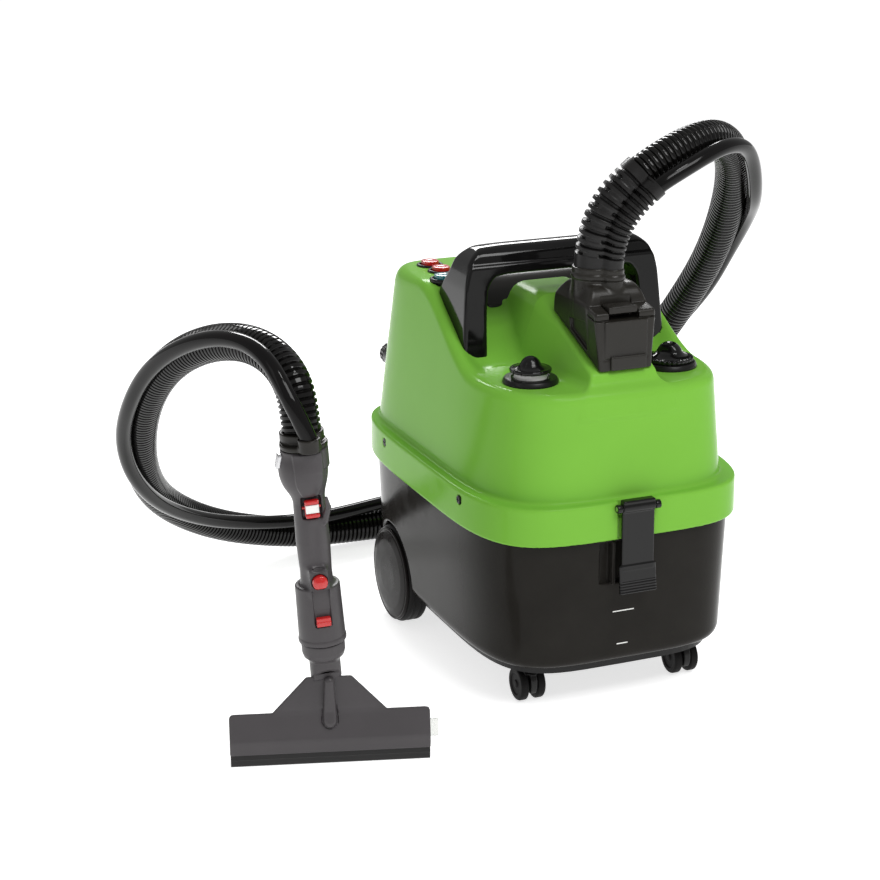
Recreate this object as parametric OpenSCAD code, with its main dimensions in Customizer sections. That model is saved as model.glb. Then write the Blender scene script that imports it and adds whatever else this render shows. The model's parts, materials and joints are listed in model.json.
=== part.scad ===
// Canister steam cleaner: dirty-water tank on wheels, lift-off machine head, hoses and steam gun.
// The machine's front faces -Y. The floor is z = 0.

/* [Machine] */
// Width across the skirt of the head
body_w = 340; // [320:5:360]
// Length of the skirt, front to back
body_l = 490; // [470:5:510]
// Height of the tank's underside above the floor
tank_z = 53; // [50:1:56]
// Height of the skirt's lower edge
skirt_z = 208; // [200:1:212]
// Height of the skirt band
skirt_h = 45; // [40:1:50]
// Height of the front deck
deck_z = 376; // [370:1:382]
// Height of the rear hump
hump_z = 454; // [448:1:460]
// Wall of the moulded covers
wall = 4; // [3:0.5:5]

/* [Wheels] */
// Radius of a rear wheel
wheel_r = 62; // [58:1:64]
// Distance of the rear axle behind the middle
axle_y = 118; // [110:1:125]
// Radius of a caster wheel
caster_r = 20; // [18:1:20]
// Sideways distance of a caster from the middle
caster_x = 100; // [90:1:110]

/* [Hoses] */
// Diameter of the suction hose
vac_d = 44; // [40:1:46]
// Diameter of the steam hose
steam_d = 20; // [18:1:22]

/* [Gun] */
// Lean of the gun to the side, in degrees
gun_lean = 4; // [0:1:6]
// Length of the floor nozzle
nozzle_w = 218; // [200:1:260]

/* [Hidden] */
$fn = 48;

// The origin is under the middle of the machine and gun together
mach_x = 153;
mach_y = 18;

// Skirt, cover and tank outlines are superellipses of this power
plan_power = 4.5;
plan_steps = 72;
half_w = body_w / 2;
half_l = body_l / 2;
ledge = 10;
rim_z = 214;
seal_t = 3;
plate_t = 4;
deck_bottom = rim_z + seal_t;
deck_top = deck_bottom + plate_t;
cover_top = hump_z + 6;

// Inner side of a wheel pocket, and the inner end of its stub axle
pocket_x = 126;
axle_x = 116;

// Top outline of the cover, smaller and set forward of the skirt
top_half_w = 138;
top_half_l = 199;
top_shift = -21;

// The S-shaped rise from the deck to the hump
rise_start = -120;
rise_end = 66;

// Cap and plug places
cap_x = 88;
cap_y = -151;
duct_y = -150;
duct_r = 24;
plug_w = 74;

// Switches on the hump, knob and power inlet on the rear wall
switch_places = [[-98, 128], [-98, 92], [-112, 50]];
knob_x = -118;
knob_y = 200;
knob_z = 322;
inlet_x = 70;
inlet_z = 290;

// Latch
latch_y = -half_l - 5.5;
latch_z = 247;
latch_w = 40;
keeper_w = 76;
keeper_h = 48;
keeper_y = half_l - 2.5;
keeper_z = 156;

// Gun frame: pivot above the nozzle, its lean and turn
gun_x = -362;
gun_y = -228;
gun_z = 60;
gun_turn = -10;
nozzle_turn = -17;

// Radius and top of the gun's bulb, and where the hoses end on the cuff above it, in the gun's frame
bulb_r = 26.5;
bulb_top = 300;
cuff_h = 14;
vac_end = [0, 9];
steam_end = [3, -23];
boot_points = 3;

// Height of the trigger's pivot in the gun's frame
trigger_z = 237;

// Suction bore of the gun, set back behind the trigger
gun_bore_r = 11;
gun_bore_y = 3.5;

function spow(v, p) = sign(v) * pow(abs(v), p);
function superellipse(a, b) = [
    for (i = [0:plan_steps - 1]) let (t = 360 * i / plan_steps)
        [a * spow(cos(t), 2 / plan_power), b * spow(sin(t), 2 / plan_power)]
];
function smooth(t) = let (c = min(max(t, 0), 1)) c * c * (3 - 2 * c);
function cover_z(y) = deck_z + (hump_z - deck_z) * smooth((y - rise_start) / (rise_end - rise_start));

module machine() {
    translate([mach_x, mach_y, 0]) children();
}

module gun_frame() {
    machine() translate([gun_x, gun_y, gun_z]) rotate([0, -gun_lean, 0]) rotate([0, 0, gun_turn]) children();
}

module nozzle_frame() {
    machine() translate([gun_x, gun_y, 0]) rotate([0, 0, nozzle_turn]) children();
}

module pair() {
    children();
    mirror([1, 0, 0]) children();
}

// Skirt outline, moved in by inset
module plan(inset = 0) {
    polygon(superellipse(half_w - inset, half_l - inset));
}

// Drafted block between two heights and two insets
module drafted(z0, in0, z1, in1) {
    hull() {
        translate([0, 0, z0]) linear_extrude(0.1) plan(in0);
        translate([0, 0, z1 - 0.1]) linear_extrude(0.1) plan(in1);
    }
}

// A side view in Y and Z, drawn across the width w
module across(w) {
    translate([-w / 2, 0, 0]) rotate([90, 0, 90]) linear_extrude(w) children();
}

module rounded_box(size, r) {
    translate([0, 0, -size.z / 2]) linear_extrude(size.z)
        offset(r) square([size.x - 2 * r, size.y - 2 * r], center = true);
}

module rod_x(r, x0, x1) {
    translate([x0, 0, 0]) rotate([0, 90, 0]) cylinder(r = r, h = x1 - x0);
}

module ring(r_out, r_in, h) {
    difference() {
        cylinder(r = r_out, h = h);
        translate([0, 0, -1]) cylinder(r = r_in, h = h + 2);
    }
}

// ---------------------------------------------------------------- tank and chassis

module tank_shell() {
    color([0.1, 0.1, 0.1]) machine() difference() {
        union() {
            difference() {
                drafted(tank_z, 13, rim_z, 7);
                drafted(tank_z + wall, 13 + wall, rim_z + 1, 7 + wall);
            }
            intersection() {
                drafted(tank_z, 13.1, rim_z, 7.1);
                pair() translate([0, axle_y, wheel_r]) {
                    rod_x(wheel_r + 8, pocket_x - wall, half_w);
                    rod_x(14, axle_x - 3, pocket_x);
                }
            }
            translate([-keeper_w / 2, -keeper_y, keeper_z]) cube([keeper_w, 14, keeper_h]);
        }
        pair() translate([0, axle_y, wheel_r]) rod_x(wheel_r + 4, pocket_x, half_w + 1);
        pair() translate([0, axle_y, wheel_r]) rod_x(6, axle_x, half_w);
    }
}

// Plate under the tank that carries the casters, with a flat pad in the middle to rest or bolt the machine on
module chassis_plate() {
    pad = [150, 190, 4];
    color([0.08, 0.08, 0.08]) machine() difference() {
        union() {
            translate([0, 0, tank_z - 8]) linear_extrude(8) plan(26);
            translate([-pad.x / 2, -pad.y / 2, tank_z - 8 - pad.z]) cube(pad);
        }
        pair() translate([caster_x, -158, 0]) cylinder(r = 5.05, h = 60);
        pair() translate([pocket_x - 2, axle_y - 80, 0]) cube([60, 160, 60]);
    }
}

module wheel_axles() {
    color([0.7, 0.7, 0.72]) machine() pair() translate([0, axle_y, wheel_r]) {
        rod_x(6, axle_x, 158);
        rod_x(10, pocket_x, pocket_x + 3);
    }
}

module tyre() {
    translate([0, axle_y, wheel_r]) difference() {
        rod_x(wheel_r, 131, 157);
        rod_x(wheel_r - 9, 130, 158);
    }
}

module wheel() {
    translate([0, axle_y, wheel_r]) difference() {
        union() {
            rod_x(wheel_r - 9, 133, 155);
            rod_x(wheel_r - 3, 157, 161);
            rod_x(wheel_r - 8, 157, 165);
        }
        rod_x(6.06, 130, 159);
    }
}

module tyre_left() { color([0.06, 0.06, 0.06]) machine() mirror([1, 0, 0]) tyre(); }
module tyre_right() { color([0.06, 0.06, 0.06]) machine() tyre(); }
module wheel_left() { color([0.25, 0.25, 0.26]) machine() mirror([1, 0, 0]) wheel(); }
module wheel_right() { color([0.25, 0.25, 0.26]) machine() wheel(); }

module caster_fork() {
    difference() {
        union() {
            translate([0, -158, 35]) cylinder(r = 5, h = 17);
            translate([0, -158, 38]) cylinder(r = 14, h = 6.6);
            intersection() {
                translate([-4, -190, 8]) cube([8, 46, 36.6]);
                translate([0, -172, 24]) rod_x(21, -4, 4);
            }
        }
        translate([0, -172, caster_r]) rod_x(2.55, -10, 10);
        translate([0, -172, caster_r]) rod_x(caster_r + 1, 4.2, 20);
        translate([0, -172, caster_r]) rod_x(caster_r + 1, -20, -4.2);
    }
}

module caster_wheels() {
    translate([0, -172, caster_r]) {
        rod_x(2.5, -6, 6);
        pair() rod_x(caster_r, 5, 16);
    }
}

module caster_fork_left() { color([0.07, 0.07, 0.07]) machine() translate([-caster_x, 0, 0]) caster_fork(); }
module caster_fork_right() { color([0.07, 0.07, 0.07]) machine() translate([caster_x, 0, 0]) caster_fork(); }
module caster_wheels_left() { color([0.1, 0.1, 0.1]) machine() translate([-caster_x, 0, 0]) caster_wheels(); }
module caster_wheels_right() { color([0.1, 0.1, 0.1]) machine() translate([caster_x, 0, 0]) caster_wheels(); }

// ---------------------------------------------------------------- head cover and its fittings

// Solid form of the cover above the skirt, moved in by t all round
module cover_body(t = 0) {
    intersection() {
        hull() {
            translate([0, 0, skirt_z - 10]) linear_extrude(0.1)
                polygon(superellipse(half_w - ledge - t, half_l - ledge - t));
            translate([0, top_shift, cover_top]) linear_extrude(0.1)
                polygon(superellipse(top_half_w - t, top_half_l - t));
        }
        across(body_w) polygon(concat(
            [[-half_l, 0], [-half_l, deck_z - 34 - t], [-half_l + 24, deck_z - 3 - t]],
            [for (y = [-208:12:80]) [y, cover_z(y) - t]],
            [for (a = [90:-15:0]) [136 + 40 * cos(a), hump_z - 40 - t + 40 * sin(a)]],
            [[half_l, 260], [half_l, 0]]
        ));
    }
}

// Inclined seat of the hose plug, rising from the deck to the hump
module plug_seat(t = 0) {
    across(plug_w + 6 - 2 * t) polygon([
        [-217 + t, deck_z - 12 - t], [-209 + t, 394 - t], [-104, 437 - t], [-64, hump_z - t],
        [-30, hump_z - t], [-30, deck_z - 12 - t]
    ]);
}

module top_cover() {
    color([0.5, 0.76, 0.28]) machine() difference() {
        union() {
            translate([0, 0, skirt_z]) linear_extrude(skirt_h) plan();
            cover_body();
            plug_seat();
            pair() translate([0, latch_y, latch_z]) {
                rod_x(5, latch_w / 2 + 1, latch_w / 2 + 7);
                translate([latch_w / 2 + 1, 0, -5]) cube([6, 8, 10]);
            }
        }
        translate([0, 0, skirt_z - 11]) linear_extrude(skirt_h + 5) plan(wall);
        cover_body(wall);
        plug_seat(wall);
        pair() translate([cap_x, cap_y, 300]) cylinder(r = 22, h = 200);
        translate([0, duct_y, 300]) cylinder(r = 21.5, h = 300);
        skirt_screw_places() rod_x(5.2, 0, 10);
        skirt_screw_places() rod_x(2.5, -20, 10);
        pair() translate([0, latch_y, latch_z]) rod_x(2.5, 10, 40);
        for (p = switch_places) translate([p.x, p.y, hump_z - 20]) cylinder(r = 13, h = 40);
        translate([knob_x, knob_y - 40, knob_z]) rotate([-90, 0, 0]) cylinder(r = 4, h = 60);
        translate([inlet_x, knob_y - 40, inlet_z]) rotate([-90, 0, 0]) cylinder(r = 9, h = 80);
    }
}

module inner_deck() {
    color([0.15, 0.15, 0.15]) machine() difference() {
        translate([0, 0, deck_bottom]) linear_extrude(plate_t) plan(wall);
        translate([0, duct_y, 200]) cylinder(r = 21, h = 60);
        translate([66, 92, 200]) cylinder(r = 16, h = 60);
    }
}

module tank_gasket() {
    color([0.05, 0.05, 0.05]) machine() translate([0, 0, rim_z]) linear_extrude(seal_t) difference() {
        plan(7);
        plan(11);
    }
}

// Dark trim on the slope behind the handle
module rear_panel() {
    color([0.3, 0.3, 0.3]) machine() across(150) polygon(concat(
        [for (y = [6:7:62]) [y, cover_z(y) + 0.02]],
        [for (y = [62:-7:6]) [y, cover_z(y) + 2.5]]
    ));
}

// Front view of the arch, and its side view with feet that follow the slope
module carry_handle() {
    bar_bottom = 474;
    bar_top = 511;
    foot_y = -49;
    color([0.03, 0.03, 0.03]) machine() intersection() {
        translate([0, 60, 0]) rotate([90, 0, 0]) linear_extrude(140) difference() {
            offset(30) offset(-30) polygon([
                [-130, 300], [-126, 440], [-109, bar_top], [109, bar_top], [126, 440], [130, 300]
            ]);
            offset(16) offset(-16) polygon([
                [-100, 200], [-98, 430], [-88, bar_bottom], [88, bar_bottom], [98, 430], [100, 200]
            ]);
        }
        across(300) polygon(concat(
            [[foot_y, 472], [foot_y + 9, bar_top + 1], [-8, bar_top + 1], [6, 482], [30, cover_z(30) + 4]],
            [for (y = [28:-7:foot_y]) [y, cover_z(y) + 0.02]]
        ));
    }
}

// Two screws on each side of the skirt, at the bottom of their counterbores
module skirt_screw_places() {
    pair() for (y = [109, -130]) translate([half_w - 5, y, 240]) children();
}

module skirt_screws() {
    color([0.05, 0.05, 0.05]) machine() skirt_screw_places() {
        rod_x(5, 0, 4);
        rod_x(2.5, -14, 0);
    }
}

module latch_strap() {
    color([0.05, 0.05, 0.05]) machine() difference() {
        union() {
            translate([0, latch_y, latch_z]) rod_x(5, -latch_w / 2, latch_w / 2);
            translate([-latch_w / 2, latch_y - 2, 176]) cube([latch_w, 5, latch_z - 176]);
            hull() {
                translate([-latch_w / 2, latch_y - 2, 176]) cube([latch_w, 5, 1]);
                translate([-24, latch_y - 5.5, 146]) cube([48, 5, 1]);
            }
        }
        translate([0, latch_y, latch_z]) rod_x(2.55, -40, 40);
    }
}

module latch_pin() {
    color([0.6, 0.6, 0.6]) machine() translate([0, latch_y, latch_z]) rod_x(2.5, -latch_w / 2 - 7, latch_w / 2 + 7);
}

module switch_bezels() {
    color([0.05, 0.05, 0.05]) machine() for (p = switch_places) translate([p.x, p.y, hump_z]) {
        ring(16, 12.5, 3);
        difference() {
            translate([0, 0, -16]) cylinder(r = 12.9, h = 16.5);
            translate([0, 0, -14]) cylinder(r = 11, h = 20);
            translate([0, 0, -4]) rod_x(2.05, -12.5, 12.5);
        }
    }
}

// Button that rocks on a short shaft across its bezel
module rocker(i) {
    p = switch_places[i];
    machine() translate([p.x, p.y, hump_z]) {
        translate([0, 0, -3]) cylinder(r = 9, h = 10);
        translate([0, 0, -4]) rod_x(2, -12.3, 12.3);
    }
}

module power_switch() { color([0.75, 0.1, 0.08]) rocker(0); }
module vacuum_switch() { color([0.75, 0.1, 0.08]) rocker(1); }
module steam_switch() { color([0.05, 0.4, 0.4]) rocker(2); }

module steam_knob() {
    color([0.05, 0.05, 0.05]) machine() translate([knob_x, knob_y, knob_z]) rotate([-90, 0, 0]) {
        translate([0, 0, 6]) cylinder(r = 14, h = 18);
        translate([0, 0, -24]) cylinder(r = 3.95, h = 32);
    }
}

module power_inlet() {
    color([0.05, 0.05, 0.05]) machine() translate([inlet_x, 0, inlet_z]) rotate([-90, 0, 0]) {
        translate([0, 0, 190]) ring(9, 5, 36);
        translate([0, 0, 219.5]) ring(14, 5, 6.5);
    }
}

// Filler neck with its flange on the deck
module filler() {
    translate([0, 0, deck_z]) ring(32, 15, 6);
    translate([0, 0, 340]) ring(21.8, 15, deck_z - 340);
}

module water_filler() { color([0.06, 0.06, 0.06]) machine() translate([cap_x, cap_y, 0]) filler(); }
module detergent_filler() { color([0.06, 0.06, 0.06]) machine() translate([-cap_x, cap_y, 0]) filler(); }

module water_cap() {
    color([0.05, 0.05, 0.05]) machine() translate([cap_x, cap_y, deck_z + 6.2]) {
        translate([0, 0, 0]) cylinder(r = 27, h = 6);
        translate([0, 0, 6]) cylinder(r1 = 16, r2 = 14, h = 6);
        intersection() {
            translate([0, 0, 7]) sphere(r = 14.5);
            translate([0, 0, 10]) cylinder(r = 20, h = 20);
        }
        translate([0, 0, -18]) cylinder(r = 14.8, h = 18);
    }
}

module detergent_seal() {
    color([0.9, 0.9, 0.88]) machine() translate([-cap_x, cap_y, deck_z + 6.2]) {
        ring(19, 8.1, 8);
        translate([0, 0, -18]) ring(14.8, 8.1, 18);
    }
}

module detergent_cap() {
    color([0.05, 0.05, 0.05]) machine() translate([-cap_x, cap_y, deck_z + 14.4]) {
        cylinder(r = 24, h = 5);
        translate([0, 0, 5]) cylinder(r1 = 15, r2 = 12, h = 4);
        intersection() {
            translate([0, 0, 6]) sphere(r = 12.5);
            cylinder(r = 20, h = 20);
        }
        translate([0, 0, -22]) cylinder(r = 8, h = 22);
    }
}

// ---------------------------------------------------------------- inside the head

// Box tank that hangs from its filler neck
module reservoir() {
    difference() {
        union() {
            translate([0, -143, 279]) rounded_box([72, 98, 116], 10);
            translate([0, cap_y, 335]) cylinder(r = 21, h = 4.9);
        }
        translate([0, -143, 279]) rounded_box([66, 92, 110], 7);
        translate([0, cap_y, 320]) cylinder(r = 15, h = 40);
    }
}

module water_reservoir() { color([0.85, 0.88, 0.9]) machine() translate([cap_x, 0, 0]) reservoir(); }
module detergent_reservoir() { color([0.9, 0.88, 0.8]) machine() translate([-cap_x, 0, 0]) reservoir(); }

module intake_duct() {
    color([0.1, 0.1, 0.1]) machine() translate([0, duct_y, 0]) {
        translate([0, 0, deck_top]) ring(duct_r, 21, 401 - deck_top);
        translate([0, 0, deck_top]) ring(34, 21, 4);
    }
}

module boiler() {
    color([0.75, 0.72, 0.68]) machine() translate([-66, 10, 0]) difference() {
        union() {
            translate([0, 0, 232]) cylinder(r = 56, h = 118);
            translate([0, 0, deck_top]) ring(40, 34, 11.2);
            translate([-8, 0, 350]) cylinder(r = 9, h = 8);
            translate([30, 0, 350]) cylinder(r = 9, h = 8);
        }
        translate([0, 0, 236]) cylinder(r = 52, h = 110);
        translate([-8, 0, 340]) cylinder(r = 5, h = 30);
        translate([30, 0, 340]) cylinder(r = 5, h = 30);
    }
}

module heating_element() {
    color([0.6, 0.55, 0.5]) machine() translate([-66, 10, 250]) {
        rotate_extrude() translate([34, 0]) circle(r = 4);
        translate([34, 0, -14]) cylinder(r = 4, h = 14);
        translate([-34, 0, -14]) cylinder(r = 4, h = 14);
    }
}

module safety_valve() {
    color([0.75, 0.6, 0.3]) machine() translate([-74, 10, 358]) {
        cylinder(r = 9, h = 8);
        translate([0, 0, 8]) cylinder(r = 7, h = 16);
        translate([0, 0, -8]) cylinder(r = 4.9, h = 8);
    }
}

module feed_pump() {
    color([0.2, 0.2, 0.22]) machine() translate([62, -58, 0]) {
        translate([0, 0, 250]) rounded_box([54, 44, 50], 4);
        translate([0, 0, 275]) cylinder(r = 18, h = 34);
        translate([0, 0, deck_top]) cylinder(r = 8, h = 5);
    }
}

module solenoid_valve() {
    color([0.5, 0.5, 0.5]) machine() translate([-36, 10, 358]) {
        cylinder(r = 8.5, h = 8);
        translate([0, 0, 20]) cube([26, 24, 24], center = true);
        translate([0, 0, -8]) cylinder(r = 4.9, h = 8);
    }
}

// Rigid pipe from the solenoid valve to the underside of the plug's seat
module steam_pipe() {
    bend_r = 10;
    run = 106;
    color([0.7, 0.5, 0.35]) machine() translate([-30, -2, 378]) {
        rotate([90, 0, 0]) cylinder(r = 4, h = run);
        translate([0, -run, bend_r]) rotate([0, 90, 0]) rotate([0, 0, -90]) rotate_extrude(angle = 90)
            translate([bend_r, 0]) circle(r = 4);
        translate([0, -run - bend_r, bend_r]) cylinder(r = 4, h = 34);
    }
}

module vacuum_motor() {
    color([0.3, 0.3, 0.32]) machine() translate([66, 92, 0]) difference() {
        union() {
            translate([0, 0, 292]) cylinder(r = 62, h = 6);
            translate([0, 0, 298]) cylinder(r = 46, h = 78);
            translate([0, 0, 376]) cylinder(r = 22, h = 14);
        }
        translate([0, 0, 280]) cylinder(r = 5.05, h = 70);
    }
}

module fan_housing() {
    color([0.4, 0.4, 0.42]) machine() translate([66, 92, 0]) difference() {
        translate([0, 0, deck_top]) cylinder(r = 62, h = 292 - deck_top);
        translate([0, 0, deck_top + 4]) cylinder(r = 58, h = 100);
        translate([0, 0, deck_top - 1]) cylinder(r = 16, h = 10);
        translate([0, 40, 262]) rotate([-90, 0, 0]) cylinder(r = 18, h = 40);
    }
}

module fan_impeller() {
    color([0.7, 0.7, 0.72]) machine() translate([66, 92, 0]) {
        translate([0, 0, 240]) ring(52, 20, 2);
        translate([0, 0, 264]) cylinder(r = 52, h = 3);
        translate([0, 0, 241.5]) for (a = [0:45:315]) rotate([0, 0, a])
            translate([20, -1, 0]) rotate([0, 0, 25]) cube([30, 2, 23]);
        translate([0, 0, 262]) cylinder(r = 5, h = 84);
    }
}

module float_cage() {
    color([0.2, 0.2, 0.2]) machine() translate([66, 92, 0]) difference() {
        translate([0, 0, 130]) cylinder(r = 30, h = deck_bottom - 130);
        translate([0, 0, 134]) cylinder(r = 26, h = 77);
        translate([0, 0, 120]) cylinder(r = 12, h = 140);
        for (a = [0:60:300]) rotate([0, 0, a]) translate([15, -6, 140]) cube([30, 12, 60]);
    }
}

module float_ball() {
    color([0.9, 0.5, 0.2]) machine() translate([66, 92, 157.5]) sphere(r = 22);
}

module control_board() {
    color([0.1, 0.35, 0.15]) machine() translate([-60, 150, 0]) {
        translate([0, 0, 320]) cube([110, 3, 90], center = true);
        translate([-30, -8, 330]) cube([22, 13, 22], center = true);
        translate([16, -10, 312]) cube([30, 17, 26], center = true);
        pair() translate([40, -1.5, deck_top]) cube([10, 3, 54.5]);
        pair() translate([45, 0, deck_top + 2]) cube([14, 14, 4], center = true);
    }
}

// ---------------------------------------------------------------- hoses

// Routes of the two hoses in the machine's frame, from plug to gun; the boot covers the first points
vac_route = [
    [-8, -148, 512], [-4, -152, 548], [12, -158, 580], [42, -163, 607], [82, -162, 627], [122, -150, 637],
    [160, -126, 632], [197, -90, 608], [226, -44, 566], [246, 4, 518], [258, 50, 468], [264, 96, 420],
    [262, 142, 370], [254, 190, 314], [238, 240, 254], [212, 292, 190], [176, 340, 126], [130, 378, 70],
    [76, 396, 34], [14, 402, 24], [-60, 402, 23], [-130, 400, 25], [-190, 396, 30], [-254, 382, 46],
    [-318, 356, 72], [-376, 318, 110], [-422, 270, 156], [-450, 216, 210], [-466, 156, 270], [-472, 94, 330],
    [-466, 30, 384], [-448, -30, 422], [-426, -88, 444], [-406, -140, 450], [-392, -182, 440],
    [-384, -210, 416], [-382, -219, 374]
];
steam_route = [
    [4, -170, 512], [8, -176, 544], [24, -186, 574], [46, -193, 596], [80, -194, 613], [120, -186, 629],
    [156, -168, 631], [190, -142, 618], [222, -102, 579], [247, -60, 543], [272, -10, 518], [289, 44, 480],
    [295, 90, 438], [296, 136, 386], [284, 202, 322], [268, 254, 258], [240, 308, 198], [198, 360, 142],
    [144, 400, 92], [82, 416, 62], [14, 412, 56], [-60, 400, 56], [-150, 380, 53], [-222, 363, 60],
    [-288, 336, 77], [-349, 298, 102], [-409, 244, 142], [-450, 196, 184], [-480, 155, 232], [-497, 110, 288],
    [-500, 56, 340], [-493, 6, 388], [-477, -46, 425], [-457, -98, 450], [-438, -140, 461], [-422, -180, 461],
    [-411, -213, 447], [-404, -235, 424], [-395, -247, 400], [-385, -251, 374]
];

function unit(v) = v / norm(v);
function past_boot(route) = [for (i = [boot_points:len(route) - 1]) route[i]];
function tangent(p, i) = unit(p[min(i + 1, len(p) - 1)] - p[max(i - 1, 0)]);

// Tube swept along a route, with a ring at each point of the route
module swept(route, d, sides = 10) {
    n = len(route);
    rings = [
        for (i = [0:n - 1])
            let (t = tangent(route, i), u = unit(cross(t, [0.36, 0.93, 0.05])), v = cross(t, u))
            [for (k = [0:sides - 1]) route[i] + d / 2 * (cos(360 * k / sides) * u + sin(360 * k / sides) * v)]
    ];
    polyhedron(
        points = [for (r = rings) each r],
        faces = concat(
            [[for (k = [0:sides - 1]) k]],
            [for (i = [0:n - 2], k = [0:sides - 1])
                let (a = i * sides + k, b = i * sides + (k + 1) % sides) [a, a + sides, b + sides, b]],
            [[for (k = [sides - 1:-1:0]) (n - 1) * sides + k]]
        )
    );
}

module vacuum_hose() { color([0.06, 0.06, 0.06]) machine() swept(past_boot(vac_route), vac_d); }
module steam_hose() { color([0.04, 0.04, 0.04]) machine() swept(past_boot(steam_route), steam_d, 8); }

module hose_plug() {
    color([0.1, 0.1, 0.1]) machine() {
        difference() {
            union() {
                across(plug_w) polygon([
                    [-211, 395], [-211, 460], [-182, 466], [-178, 486], [-122, 486], [-100, 472], [-92, 443],
                    [-104, 438.2], [-209, 394.2]
                ]);
                translate([0, duct_y, 388]) cylinder(r = 20.6, h = 44);
                translate([0, duct_y, 486]) cylinder(r = 26, h = 10);
            }
            translate([-18.5, -206.5, 457]) cube([37, 21, 20]);
            translate([0, duct_y, 380]) cylinder(r = 17, h = 130);
        }
    }
}

module plug_button() {
    color([0.12, 0.12, 0.12]) machine() translate([0, -196, 463.5]) cube([36, 20, 8], center = true);
}

// Ribbed sleeve over the start of both hoses
module hose_boot() {
    color([0.08, 0.08, 0.08]) machine() {
        translate([-5, duct_y, 496]) cylinder(r = 25, h = 14);
        swept([vac_route[0] - [0, 0, 4], for (i = [1:boot_points]) vac_route[i]], 47, 16);
        swept([steam_route[0] - [0, 0, 8], for (i = [1:boot_points]) steam_route[i]], 25, 12);
    }
}

// Swivel foot with a sleeve for each hose
module hose_cuff() {
    color([0.12, 0.12, 0.12]) gun_frame() difference() {
        union() {
            translate([0, 0, bulb_top - 18]) cylinder(r = 18, h = 20);
            translate([0, 0, bulb_top + 0.4]) cylinder(r = 26, h = 5);
            translate([vac_end.x, vac_end.y, bulb_top + 0.4]) cylinder(r = 24, h = cuff_h);
            translate([steam_end.x, steam_end.y, bulb_top + 0.4]) cylinder(r = 12.5, h = cuff_h);
        }
        translate([0, gun_bore_y, bulb_top - 20]) cylinder(r = gun_bore_r, h = 26);
    }
}

// ---------------------------------------------------------------- gun and nozzle

module gun_housing() {
    color([0.28, 0.27, 0.29]) gun_frame() difference() {
        union() {
            translate([0, 0, 80]) cylinder(r = 25.5, h = 62);
            translate([0, 0, 142]) cylinder(r1 = 25.5, r2 = 18, h = 8);
            translate([0, 0, 146]) cylinder(r = 18, h = 110);
            translate([-11, -26, 136]) cube([22, 20, 34]);
            translate([0, 0, 244]) cylinder(r1 = 18, r2 = bulb_r, h = 16);
            translate([0, 0, 260]) cylinder(r = bulb_r, h = bulb_top - 260);
        }
        translate([0, 0, 70]) cylinder(r = 18.05, h = 32);
        translate([0, 0, bulb_top - 20]) cylinder(r = 18.06, h = 40);
        translate([0, gun_bore_y, 90]) cylinder(r = gun_bore_r, h = 200);
        translate([-12, -40, trigger_z - 13]) cube([24, 30, 26]);
        translate([0, -14, trigger_z]) rod_x(1.56, -20, 20);
        translate([0, -16, 155.5]) rotate([90, 0, 0]) cylinder(r = 8.1, h = 20);
        translate([-8.1, -40, 104]) cube([16.2, 20, 18]);
        translate([0, 0, bulb_top - 12]) rod_x(6.1, -40, -23.4);
    }
}

module gun_trigger() {
    color([0.8, 0.1, 0.08]) gun_frame() translate([0, -14, trigger_z]) {
        translate([0, -2.5, 0]) cube([20, 8, 20], center = true);
        rod_x(1.5, -14, 14);
    }
}

module gun_release() {
    color([0.8, 0.1, 0.08]) gun_frame() translate([0, -20, 155.5]) rotate([90, 0, 0]) cylinder(r = 8, h = 9);
}

module gun_lock_slide() {
    color([0.8, 0.1, 0.08]) gun_frame() translate([0, -24.5, 110]) cube([15.6, 7, 10], center = true);
}

module swivel_button() {
    color([0.6, 0.6, 0.6]) gun_frame() translate([0, 0, bulb_top - 12]) rod_x(6, -32, -26.8);
}

module nozzle_body() {
    color([0.28, 0.27, 0.29]) difference() {
        union() {
            nozzle_frame() intersection() {
                translate([0, 40, 0]) rotate([90, 0, 0]) linear_extrude(80) offset(4) offset(-4) polygon([
                    [-nozzle_w / 2, 14], [-nozzle_w / 2, 61], [-62, 61], [-24.5, 102], [24.5, 102], [62, 61],
                    [nozzle_w / 2, 61], [nozzle_w / 2, 14]
                ]);
                across(300) polygon([
                    [-20, 14], [-22, 30], [-13, 58], [-13, 102], [13, 102], [13, 58], [18, 30], [18, 14]
                ]);
            }
            gun_frame() {
                translate([0, 0, 36]) cylinder(r = 17, h = 28);
                translate([0, 0, 62]) cylinder(r = 23.5, h = 17.8);
                translate([0, 0, 79]) cylinder(r = 18, h = 20);
            }
        }
        nozzle_frame() translate([-nozzle_w / 2 + 14, -9, 10]) cube([nozzle_w - 28, 10, 36]);
        gun_frame() translate([0, 0, -14]) cylinder(r = 9, h = 60);
        gun_frame() translate([0, 0, 44]) cylinder(r = 13, h = 60);
    }
}

module nozzle_blade() {
    color([0.04, 0.04, 0.04]) nozzle_frame() translate([0, -16, 7]) cube([nozzle_w, 4, 14], center = true);
}

module nozzle_bristles() {
    color([0.06, 0.06, 0.06]) nozzle_frame() translate([0, 8, 7.2]) cube([nozzle_w - 14, 12, 13.6], center = true);
}

// Clear splash lip along the back of the nozzle, standing out at one end
module nozzle_lip() {
    color([0.9, 0.9, 0.88]) nozzle_frame() translate([nozzle_w / 2 - 60, 19.2, 20]) cube([nozzle_w / 2 + 34, 2, 22], center = true);
}

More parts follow.
